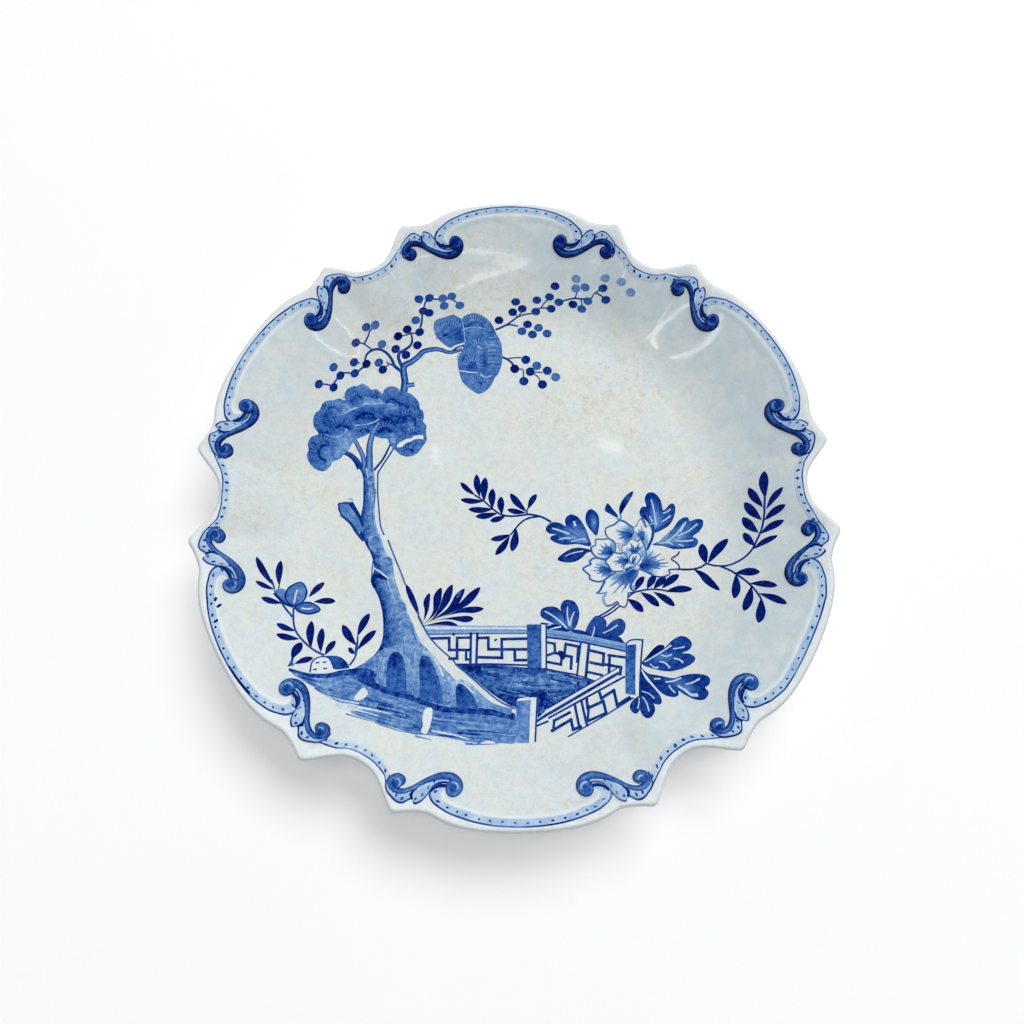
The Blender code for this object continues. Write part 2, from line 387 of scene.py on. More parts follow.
def make_piece(name, shape, finish, crease):
    """Makes an object of a shape drawn in millimetres, smooth but for its sharp edges."""
    bmesh.ops.scale(shape, vec=(MM, MM, MM), verts=shape.verts)
    mesh = bpy.data.meshes.new(name)
    shape.to_mesh(mesh)
    shape.free()
    mesh.materials.append(finish)
    mesh.shade_smooth()
    mesh.set_sharp_from_angle(angle=math.radians(crease))
    piece = bpy.data.objects.new(name, mesh)
    bpy.context.scene.collection.objects.link(piece)
    return piece


white_glaze, nodes = new_finish("white_glaze")
fire_glaze(nodes, glazed_colour(nodes), 0.04 + nodes.cloud(60, 3) * 0.05, bump=0.05)

shape = turned(body_section(), RIM_STEPS)
lip = shape.verts.layers.float.new("lip")
for vert in shape.verts:
    radius = math.hypot(vert.co.x, vert.co.y)
    vert[lip] = clamp(1 - (RIM_RADIUS - radius) / LIP_WIDTH)
    angle = stepped_angle(math.degrees(math.atan2(vert.co.y, vert.co.x)))
    reach = radius * lobing(radius, angle)
    vert.co.x = reach * math.cos(math.radians(angle))
    vert.co.y = reach * math.sin(math.radians(angle))
    vert.co.z += rim_dip(radius, reach)
dish = make_piece("glazed_dish", shape, white_glaze, crease=75)
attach(dish, "root")
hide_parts("dish_body")

# The foot ring: a low turned ring of the same clay, luted under the well. It is glazed
# but for its tread, which was wiped clean for the kiln and is worn to a warm biscuit.
FOOT_ROUNDING = 0.8
FOOT_SEAT_WIDTH = 9
FOOT_FLARE = 2
FOOT_TREAD_WIDTH = 4.5
FOOT_JOINT = 0.4
FLANK_HOLLOW = 0.7
FLANK_STEPS = 8
CORNER_STEPS = 5
FOOT_STEPS = 160
foot_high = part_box("foot_ring")[1]
FOOT_SEAT_OUTER = foot_high.x / MM
FOOT_SEAT_INNER = FOOT_SEAT_OUTER - FOOT_SEAT_WIDTH
FOOT_TREAD_OUTER = FOOT_SEAT_OUTER - FOOT_FLARE
FOOT_TREAD_INNER = FOOT_TREAD_OUTER - FOOT_TREAD_WIDTH
FOOT_SEAT_HEIGHT = dish_low.z / MM + FOOT_JOINT
BISCUIT = pigment(205, 190, 166)
BISCUIT_WORN = pigment(158, 140, 116)


def foot_section():
    """The ring's section: two hollow flanks that flare to the seat, and a rounded tread."""
    rounding = FOOT_ROUNDING
    flank = [i / FLANK_STEPS for i in range(FLANK_STEPS + 1)]
    top = FOOT_SEAT_HEIGHT
    outer = [
        (FOOT_SEAT_OUTER - (FOOT_SEAT_OUTER - FOOT_TREAD_OUTER) * ease(s) ** FLANK_HOLLOW,
         top - (top - rounding) * s)
        for s in flank
    ]
    inner = [
        (FOOT_TREAD_INNER - (FOOT_TREAD_INNER - FOOT_SEAT_INNER) * (1 - ease(1 - s) ** FLANK_HOLLOW),
         rounding + (top - rounding) * s)
        for s in flank
    ]
    corner = [math.pi / 2 * i / CORNER_STEPS for i in range(1, CORNER_STEPS + 1)]
    near = [
        (FOOT_TREAD_OUTER - rounding * (1 - math.cos(a)), rounding * (1 - math.sin(a)))
        for a in corner
    ]
    far = [
        (FOOT_TREAD_INNER + rounding * (1 - math.sin(a)), rounding * (1 - math.cos(a)))
        for a in corner
    ]
    return [(FOOT_SEAT_INNER, top)] + outer + near + far + inner


foot_glaze, nodes = new_finish("foot_glaze")
height = nodes.node("ShaderNodeSeparateXYZ", {}, {0: nodes.place()}, 2)
bare = 1 - (height + (nodes.cloud(140, 3) - 0.5) * 0.0012).between(0.0007, 0.0014)
worn = nodes.cloud(230, 4).between(0.4, 0.7)
colour = bare.mixed(glazed_colour(nodes), worn.mixed(BISCUIT, BISCUIT_WORN))
fire_glaze(nodes, colour, 0.1 + bare * 0.6, bump=0.12)

foot = make_piece("turned_foot", turned(foot_section(), FOOT_STEPS), foot_glaze, crease=50)
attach(foot, "root")
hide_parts("foot_ring")

# The lobe borders: a raised strip of clay along each lobe, hooked round at both ends and
# brought to a small point in the middle. Its outer edge has a painted cobalt line, then a
# pale wash with a row of dots, and its inner slope is left white, with a painted highlight along its crest.
PATH_STEPS = 6
BORDER_ROWS = 20
BORDER_RELIEF = 0.42
BORDER_SINK = 0.8
BORDER_LINE_INSET = 2.0
BORDER_INNER_INSET = 7.4
BORDER_POINT = 1.7
POINT_SPREAD = 2.2
LINE_REACH = 0.8
LINE_STEPS = 12
BORDER_FLANK = 9.0
BORDER_NARROWING = 0.5
NARROWING_START = 0.14
NARROWING_RUN = 0.2
HOOK_FADE = 0.8
BORDER_SETBACK = (0, 0, 0, 0, 0, 1.2)
ARC_START = 20.5
ARC_KNOTS = 12
SPRIG_NUDGES = (
    ((0.7, 0.0), (1.0, 0.5)), ((-1.2, 0.0), (1.3, -0.2)), ((1.0, 0.4), (0.0, -0.2)),
    ((0.5, 0.7), (1.4, 1.7)), ((1.8, 0.3), (1.8, 0.0)), ((-0.3, 0.0), (0.5, 1.2)),
)
HOOK_OUTER = (
    (29.5, 97.6), (27.4, 98.45), (25.8, 100.1), (25.3, 101.8), (26.0, 103.4), (27.9, 104.7),
    (31, 105.3), (34.2, 105.5),
)
HOOK_INNER = (
    (30.6, 98.0), (30.6, 98.6), (30.7, 99.2), (31.0, 99.9), (31.6, 100.5), (32.8, 100.9),
    (34.6, 100.9), (36.3, 100.4),
)
HOOK_SHADE = ((26.1, 101.4), (26.6, 100.2), (27.9, 99.0), (29.5, 98.2), (30.5, 98.0))
SPLASHED_LOBE = 3
SPLASHES = (
    ((-101.9, -45.1), (-101.3, -44.5)), ((-101.7, -39.9), (-101.1, -39.2)),
    ((-102.7, -37.7), (-102.6, -37.0)), ((-88.8, -68.6), (-92.6, -64.4), (-95.95, -60.0)),
)
COBALT_RAMP = (
    (0.0, pigment(224, 232, 232)),
    (0.16, pigment(180, 204, 224)),
    (0.36, pigment(132, 168, 208)),
    (0.58, pigment(78, 122, 182)),
    (0.78, pigment(34, 82, 158)),
    (0.92, pigment(0, 38, 124)),
    (1.0, pigment(0, 10, 90)),
)


def smooth_path(knots, steps=PATH_STEPS, closed=False):
    """Points of a smooth curve through the knots, a few for each stretch."""
    padded = [knots[0], *knots, knots[-1]]
    if closed:
        padded = [knots[-1], *knots, *knots[:2]]
    path = []
    for a, b, c, d in zip(padded, padded[1:], padded[2:], padded[3:]):
        for i in range(steps):
            t = i / steps
            path.append(tuple(
                q + t / 2 * (r - p + t * (2 * p - 5 * q + 4 * r - s + t * (3 * (q - r) + s - p)))
                for p, q, r, s in zip(a, b, c, d)
            ))
    return path if closed else path + [tuple(knots[-1])]


def by_scallop(scallop, side, aside, out, nudged=1.0):
    """Plan point from how far it lies beside a scallop's middle line and out along it. Every
    sprig was set by hand, so each is nudged round and outwards, and follows its lobe's swell."""
    middle = math.radians(2 * HALF_SECTOR * scallop)
    x = out * math.cos(middle) - side * aside * math.sin(middle)
    y = out * math.sin(middle) + side * aside * math.cos(middle)
    pushed = 1 + lobe_swell(math.degrees(math.atan2(y, x))) / math.hypot(x, y)
    clockwise, outwards = SPRIG_NUDGES[scallop % LOBE_COUNT][side < 0]
    crown = middle + side * math.radians(HALF_SECTOR)
    x = x * pushed + nudged * (outwards * math.cos(crown) + clockwise * math.sin(crown))
    y = y * pushed + nudged * (outwards * math.sin(crown) - clockwise * math.cos(crown))
    return x, y


def on_arc(angle, inset):
    """Plan point at an angle round the dish and a distance in from the rim."""
    radius = rim_radius(angle) - inset
    return radius * math.cos(math.radians(angle)), radius * math.sin(math.radians(angle))


def ribbon(shape, first, second, rows):
    """A grid between two edges of as many points: its (vertex, station, share across)."""
    last = len(first) - 1
    grid = bmesh.ops.create_grid(shape, x_segments=last, y_segments=rows, size=1)
    laid = []
    for vert in grid["verts"]:
        station = round((vert.co.x + 1) / 2 * last)
        share = (vert.co.y + 1) / 2
        (ax, ay), (bx, by) = first[station][:2], second[station][:2]
        vert.co = (ax + (bx - ax) * share, ay + (by - ay) * share, 0)
        laid.append((vert, station, share))
    return laid


def close_below(shape, depth):
    """Turns a sheet into a closed shell that reaches down into what carries it."""
    made = bmesh.ops.extrude_face_region(shape, geom=shape.faces[:])
    lower = [item for item in made["geom"] if isinstance(item, bmesh.types.BMVert)]
    bmesh.ops.translate(shape, vec=(0, 0, -depth), verts=lower)
    bmesh.ops.recalc_face_normals(shape, faces=shape.faces)


def moulded_strip(first, second, rows, relief, sink, lines=(), narrowing=0.0):
    """A strip of clay between two edges on the plan. relief gives its height by (station
    share, share across), and it remembers how far along and across each point lies, which
    may count for more away from its ends, and how near to a line that is drawn on it."""
    shape = bmesh.new()
    along = shape.verts.layers.float.new("along")
    across = shape.verts.layers.float.new("across")
    ink = shape.verts.layers.float.new("ink")
    drawn = [point for line in lines for point in smooth_path(line, LINE_STEPS)]
    run = [0.0]
    for a, b in zip(first, first[1:]):
        run.append(run[-1] + math.dist(a[:2], b[:2]))
    for vert, station, share in ribbon(shape, first, second, rows):
        vert[along] = run[station]
        part = station / (len(first) - 1)
        inside = (min(part, 1 - part) - NARROWING_START) / NARROWING_RUN
        counted = 1 + narrowing * ease(clamp(inside))
        vert[across] = share * math.dist(first[station][:2], second[station][:2]) * counted
        rise = relief(part, share)
        away = min((math.dist(vert.co.xy, point) for point in drawn), default=9)
        vert[ink] = clamp(1 - away / LINE_REACH)
        vert.co.z = surface_height(vert.co.x, vert.co.y) + rise
    close_below(shape, sink)
    return shape


def banded_paint(name, line_width, wash_tone, wash_width, dot_inset, dot_pitch):
    """Cobalt line, patchy pale wash and dots, by how far along and across a strip they lie."""
    finish, nodes = new_finish(name)
    unsteady = nodes.cloud(420, 3) - 0.5
    worn = nodes.cloud(45, 2).between(0.3, 0.46)
    across = nodes.attribute("across") + unsteady * 0.5
    along = (nodes.attribute("along") + (nodes.cloud(260, 1) - 0.5) * 1.6) / dot_pitch
    line = 1 - across.between(line_width - 0.2, line_width + 0.15)
    wash = 1 - across.between(wash_width - 0.6, wash_width + 0.6)
    aside = (along - nodes.maths("FLOOR", along) - 0.5) * dot_pitch
    inwards = across + (nodes.cloud(200, 1) - 0.5) * 1.4 - dot_inset
    distance = nodes.maths("SQRT", aside * aside + inwards * inwards)
    dot = 1 - (distance + unsteady * 0.5).between(0.36, 0.66)
    ink = nodes.maths("MAXIMUM", line, dot) * (0.87 + (nodes.cloud(150, 3) - 0.5) * 0.7)
    shade = nodes.attribute("ink").between(0.3, 0.6) * 0.97
    ink = nodes.maths("MAXIMUM", ink * (0.6 + worn * 0.4), shade)
    pale = wash * (wash_tone + (nodes.cloud(260, 4) - 0.5) * 0.5)
    tone = nodes.maths("MAXIMUM", ink, pale)
    painted = nodes.node("ShaderNodeValToRGB", {"stops": COBALT_RAMP}, {0: tone})
    covered = nodes.maths("MAXIMUM", wash * 0.9, ink.between(0.0, 0.3))
    # A whiter band along the ridge's crest, just inside the wash: a painted highlight, with the glaze run
    # thin over the ridge.
    crest = across.between(wash_width - 0.4, wash_width + 0.4)
    crest = crest * (1 - across.between(wash_width + 0.8, wash_width + 2.0))
    colour = (crest * 0.45).mixed(glazed_colour(nodes), WHITE_GLAZE_AND_PAINTED_LIGHT)
    colour = covered.mixed(colour, painted)
    fire_glaze(nodes, colour, 0.06 + nodes.cloud(60, 3) * 0.06, bump=0.05, shine=0.3)
    return finish


def border_edges(lobe):
    """The painted outer edge and the inner foot of one lobe's border."""
    edges = []
    for hook, inset, point in (
        (HOOK_OUTER, BORDER_LINE_INSET, 0), (HOOK_INNER, BORDER_INNER_INSET, BORDER_POINT)
    ):
        arc = []
        for i in range(ARC_KNOTS + 1):
            angle = ARC_START + (2 * HALF_SECTOR - 2 * ARC_START) * i / ARC_KNOTS
            extra = point * math.exp(-(((angle - HALF_SECTOR) / POINT_SPREAD) ** 2) / 2)
            extra += BORDER_FLANK * (angle / HALF_SECTOR - 1) ** 2
            extra += BORDER_SETBACK[lobe] * math.sin(math.pi * i / ARC_KNOTS)
            arc.append(on_arc(2 * HALF_SECTOR * lobe + angle, inset + extra))
        fades = [1 - HOOK_FADE * (i / (len(hook) - 1)) ** 2 for i in range(len(hook))]
        start = [by_scallop(lobe, 1, *knot, fade) for knot, fade in zip(hook, fades)]
        end = [by_scallop(lobe + 1, -1, *knot, fade) for knot, fade in zip(hook, fades)]
        edges.append(smooth_path(start + arc + end[::-1]))
    return edges


def border_relief(station, share):
    """Low at the painted line, and highest near the inner edge, where it drops to the wall."""
    rise = 0.7 * ease(clamp(share / 0.22)) + 0.3 * ease(clamp((share - 0.35) / 0.3))
    rise *= 1 - ease(clamp((share - 0.52) / 0.48))
    foot = 0.03 - 0.06 * clamp((share - 0.8) / 0.2)
    return BORDER_RELIEF * rise * ease(clamp(min(station, 1 - station) / 0.035)) + foot


border_paint = banded_paint(
    "border_paint", line_width=0.8, wash_tone=0.24, wash_width=3.9, dot_inset=2.1, dot_pitch=4.0)
for lobe in range(LOBE_COUNT):
    shades = [
        [by_scallop(scallop, side, *knot) for knot in HOOK_SHADE]
        for scallop, side in ((lobe, 1), (lobe + 1, -1))
    ]
    if lobe == SPLASHED_LOBE:
        shades.extend(SPLASHES)
    edges = border_edges(lobe)
    shape = moulded_strip(
        *edges, BORDER_ROWS, border_relief, BORDER_SINK, shades, BORDER_NARROWING)
    border = make_piece(f"border_moulding_{lobe + 1}", shape, border_paint, crease=65)
    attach(border, "root")
    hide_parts(f"lobe_border_{lobe + 1}")

# The scallop bands: the same painted line, wash and dots where the border crosses the
# hollow of each scallop, on a ridge that is hardly raised.
BAND_HALF_ANGLE = 5.0
BAND_KNOTS = 8
BAND_OUTER_INSET = 2.9
BAND_INNER_INSET = 5.6
BAND_END_SHIFT = 0.5
BAND_OUTER_END = (13.1, 107.2)
BAND_INNER_END = (13.1, 104.7)
BAND_SHIFTS = (-1.0, 0.3, -0.7, -1.5, -0.4, -0.4)
BAND_ROWS = 8
BAND_RELIEF = 0.28
BAND_LIFT = 0.04
BAND_SINK = 0.6


def band_relief(station, share):
    """A low round ridge, alike all along the band."""
    return BAND_RELIEF * math.sin(math.pi * share) ** 0.7 + BAND_LIFT


band_paint = banded_paint(
    "band_paint", line_width=0.5, wash_tone=0.2, wash_width=2.4, dot_inset=1.5, dot_pitch=3.2)
for scallop in range(LOBE_COUNT):
    edges = []
    for inset, tip in ((BAND_OUTER_INSET, BAND_OUTER_END), (BAND_INNER_INSET, BAND_INNER_END)):
        middle = []
        for i in range(BAND_KNOTS + 1):
            aside = 2 * i / BAND_KNOTS - 1
            shift = BAND_SHIFTS[scallop] * (1 - aside**2) + BAND_END_SHIFT * aside**2
            middle.append(on_arc(2 * HALF_SECTOR * scallop + BAND_HALF_ANGLE * aside, inset + shift))
        start, end = (by_scallop(scallop, side, *tip) for side in (-1, 1))
        edges.append(smooth_path([start, *middle, end]))
    shape = moulded_strip(*edges, BAND_ROWS, band_relief, BAND_SINK)
    band = make_piece(f"scallop_band_{scallop + 1}", shape, band_paint, crease=65)
    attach(band, "root")

# The leaves: a two-lobed acanthus leaf of clay beside each cusp, outlined in dark cobalt
# and dotted over a pale wash. It follows the scroll and thins away beside its volute.
LEAF_ROWS = 14
LEAF_RELIEF = 0.95
LEAF_SINK = 0.8
LEAF_OUTER = (
    (11.6, 103.0), (11.8, 105.3), (13.2, 107.2), (15.5, 108.3), (18.0, 108.9), (20.0, 108.4),
    (21.9, 106.1), (23.4, 107.0), (25.0, 105.5), (25.7, 103.4), (25.8, 101.9), (26.2, 100.0),
    (27.5, 98.4), (29.2, 97.5), (31.4, 97.2),
)
LEAF_PARTING = ((21.9, 106.1), (21.2, 105.0), (21.0, 103.8), (21.5, 102.6))
LEAF_INNER = (
    (13.4, 103.2), (13.4, 104.6), (14.3, 105.5), (15.8, 106.2), (17.4, 106.0), (18.9, 105.1),
    (20.3, 103.6), (21.3, 102.2), (22.3, 100.8), (23.2, 99.6), (23.8, 98.7), (24.9, 97.6),
    (26.4, 96.4), (28.7, 95.3), (31.2, 95.0),
)


def leaf_relief(station, share):
    """Full over the two lobes, and lower where the leaf runs out along the scroll."""
    rise = 0.25 + 0.75 * ease(clamp(share / 0.45))
    return LEAF_RELIEF * rise * (1 - 0.55 * ease(clamp((station - 0.6) / 0.2)))


leaf_paint = banded_paint(
    "leaf_paint", line_width=0.65, wash_tone=0.27, wash_width=4.6, dot_inset=1.8, dot_pitch=2.6)
for scallop in range(LOBE_COUNT):
    for side, word in ((1, "left"), (-1, "right")):
        edges = [
            smooth_path([by_scallop(scallop, side, *knot) for knot in knots])
            for knots in (LEAF_OUTER, LEAF_INNER)
        ]
        parting = [by_scallop(scallop, side, *knot) for knot in LEAF_PARTING]
        shape = moulded_strip(*edges, LEAF_ROWS, leaf_relief, LEAF_SINK, [parting])
        leaf = make_piece(f"dotted_leaf_{scallop + 1}_{word}", shape, leaf_paint, crease=65)
        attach(leaf, "root")
        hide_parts(f"leaf_{scallop + 1}_{word}")

# The scrolls: a roll of clay beside each cusp, curled into a small volute over the scallop
# and a large one in the hook of the border. It is painted in strong cobalt, darkest at its
# edges, and the pairs at the near lobes are paler. A paler streak along the roll and a pale
# ring on one side of each volute are painted highlights.
SCROLL_ROWS = 10
SCROLL_RELIEF = 1.2
SCROLL_LIFT = 0.05
SCROLL_SINK = 0.8
SCROLL_GRAIN = 0.5
HIGHLIGHT_STREAK_PLACE = 0.42
HIGHLIGHT_STREAK_WIDTH = 0.16
SCROLL_KNOTS = (
    (15.6, 103.9, 0.8), (16.5, 103.4, 0.85), (16.5, 102.7, 0.9), (15.6, 102.2, 0.95),
    (14.2, 102.3, 1.0), (13.1, 103.2, 1.0), (12.9, 104.5, 1.0), (13.9, 105.6, 1.0),
    (15.9, 106.1, 1.0), (18.1, 105.5, 0.95), (20.3, 103.6, 0.9), (22.0, 101.2, 0.9),
    (23.8, 98.8, 0.95), (25.9, 96.8, 1.1), (28.2, 95.5, 1.25), (30.6, 95.0, 1.3),
    (32.9, 95.6, 1.25), (33.9, 97.1, 1.2), (33.3, 98.7, 1.1), (31.9, 99.2, 1.05),
    (30.8, 98.5, 1.0), (30.9, 97.5, 0.9), (31.7, 97.3, 0.8),
)
SCROLL_EYES = ((15.0, 104.0, 1.9), (32.0, 97.4, 2.4))
EYE_FLATNESS = 0.55
EYE_LIFT = 0.25
EYE_HIGHLIGHT_TURN = 2.2
EYE_HIGHLIGHT_PLACE = 0.66
EYE_HIGHLIGHT_WIDTH = 0.14
EYE_HIGHLIGHTS = (0.5, 0.25, 0.2, 0.45, 0.6, 0.7)
SCROLL_TONES = {
    "1_left": 0.84, "1_right": 0.84, "2_left": 0.9, "2_right": 0.84, "3_left": 0.84, "3_right": 0.9,
    "4_left": 0.74, "4_right": 0.8, "5_left": 0.7, "5_right": 0.76, "6_left": 0.76, "6_right": 0.7,
}


def edges_of(path):
    """The two edges of a band drawn as (x, y, half width) points along its middle."""
    left, right = [], []
    for i, (x, y, half) in enumerate(path):
        (ax, ay, _), (bx, by, _) = path[max(i - 1, 0)], path[min(i + 1, len(path) - 1)]
        length = math.hypot(bx - ax, by - ay) or 1
        nx, ny = -(by - ay) / length, (bx - ax) / length
        left.append((x + nx * half, y + ny * half))
        right.append((x - nx * half, y - ny * half))
    return left, right


def cobalt_paint(name):
    """Cobalt from white to near black by each point's tone, mottled by its grain."""
    finish, nodes = new_finish(name)
    fine = (nodes.cloud(1500, 3) - 0.5) * 0.6
    coarse = (nodes.cloud(600, 3) - 0.5) * 0.9
    tone = nodes.attribute("tone") + nodes.attribute("grain") * (fine + coarse)
    colour = nodes.node("ShaderNodeValToRGB", {"stops": COBALT_RAMP}, {0: tone})
    colour = tone.between(0.0, 0.16).mixed(glazed_colour(nodes), colour)
    fire_glaze(nodes, colour, 0.08 + nodes.cloud(60, 3) * 0.08, bump=0.05, shine=0.15)
    return finish


scroll_paint = cobalt_paint("scroll_paint")
for scallop in range(LOBE_COUNT):
    for side, word in ((1, "left"), (-1, "right")):
        name = f"{scallop + 1}_{word}"
        path = [(*by_scallop(scallop, side, a, o), half) for a, o, half in SCROLL_KNOTS]
        shape = bmesh.new()
        tone = shape.verts.layers.float.new("tone")
        grain = shape.verts.layers.float.new("grain")
        for vert, station, share in ribbon(shape, *edges_of(smooth_path(path)), SCROLL_ROWS):
            off = abs(2 * share - 1)
            outwards = share if side > 0 else 1 - share
            # A paler streak along the outer side of the roll: a painted highlight.
            streak = math.exp(-(((outwards - HIGHLIGHT_STREAK_PLACE) / HIGHLIGHT_STREAK_WIDTH) ** 2))
            streak *= 0.6 + 0.4 * math.sin(station / 6 + scallop)
            vert[tone] = SCROLL_TONES[name] + 0.05 + 0.16 * off**4 - 0.24 * streak
            vert[grain] = SCROLL_GRAIN
            rise = SCROLL_RELIEF * math.sqrt(max(0, 1 - off * off))
            vert.co.z = surface_height(vert.co.x, vert.co.y) + rise + SCROLL_LIFT
        close_below(shape, SCROLL_SINK)
        for aside, out, radius in SCROLL_EYES:
            x, y = by_scallop(scallop, side, aside, out)
            ball = bmesh.ops.create_uvsphere(shape, u_segments=24, v_segments=16, radius=radius)
            height = surface_height(x, y) + EYE_LIFT
            bmesh.ops.scale(shape, vec=(1, 1, EYE_FLATNESS), verts=ball["verts"])
            bmesh.ops.translate(shape, vec=(x, y, height), verts=ball["verts"])
            lit_towards = math.atan2(y, x) + side * EYE_HIGHLIGHT_TURN
            for vert in ball["verts"]:
                dx, dy = vert.co.x - x, vert.co.y - y
                # A pale ring round each volute, strongest on one side: a painted highlight.
                off = (math.hypot(dx, dy) / radius - EYE_HIGHLIGHT_PLACE) / EYE_HIGHLIGHT_WIDTH
                highlight_ring = math.exp(-(off**2))
                lit_side = clamp(0.5 + math.cos(math.atan2(dy, dx) - lit_towards))
                vert[tone] = SCROLL_TONES[name] + 0.08 - EYE_HIGHLIGHTS[scallop] * highlight_ring * lit_side
                vert[grain] = SCROLL_GRAIN
        scroll = make_piece(f"rolled_scroll_{name}", shape, scroll_paint, crease=65)
        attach(scroll, "root")
        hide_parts(f"scroll_{name}")

# The tree: the first motif of the garden that is printed in cobalt under the glaze. Here
# each motif is a film of colour, laid on the glaze and hardly thicker than the ink. The
# tree has a leaning trunk with a cut stub, branches and two crowns of cloudy foliage.
FILM_LIFT = 0.05
FILM_LAYER = 0.035
FILM_STEP = 0.00015
FILM_SINK = 0.16
SLIVER = 0.002
INK_STEP = 1.5
DOT_SIDES = 18
DOT_NARROWING = 0.3
DOT_NARROWS_FROM = 62
DOT_NARROWS_OVER = 26
FRET_SPREAD = 1.15
DASH_START = (0, 0.25)
DASH_LENGTH = (0.08, 0.3)
DASH_GAP = (0.02, 0.15)
DASH_WIDTH = (0.5, 1.2)
DASH_END = 0.1
LEAF_BOW = 0.04
BLADE_TIP = 0.06
BLADE_ROUND = 0.85


def dabbed(base, *dabs):
    """A tone over the plan: a base, with soft dabs (x, y, width, height, strength) on it."""
    def tone(x, y):
        found = base
        for cx, cy, wide, high, strength in dabs:
            found += strength * math.exp(-((x - cx) / wide) ** 2 / 2 - ((y - cy) / high) ** 2 / 2)
        return found
    return tone


def dense(first, second):
    """The same two edges with more pairs of points, so that no stretch is over INK_STEP."""
    pairs = [(first[0], second[0])]
    for (a, b), (c, d) in zip(zip(first, second), zip(first[1:], second[1:])):
        parts = max(1, math.ceil(max(math.dist(a[:2], c[:2]), math.dist(b[:2], d[:2])) / INK_STEP))
        for i in range(1, parts + 1):
            pairs.append(tuple(
                tuple(p + (q - p) * i / parts for p, q in zip(start, end))
                for start, end in ((a, c), (b, d))
            ))
    return [pair[0] for pair in pairs], [pair[1] for pair in pairs]


def tapered(path, width, end):
    """A path as (x, y, half width) points, its width running from the first to the end's."""
    end = width if end is None else end
    last = len(path) - 1
    return [(x, y, (width + (end - width) * i / last) / 2) for i, (x, y) in enumerate(path)]


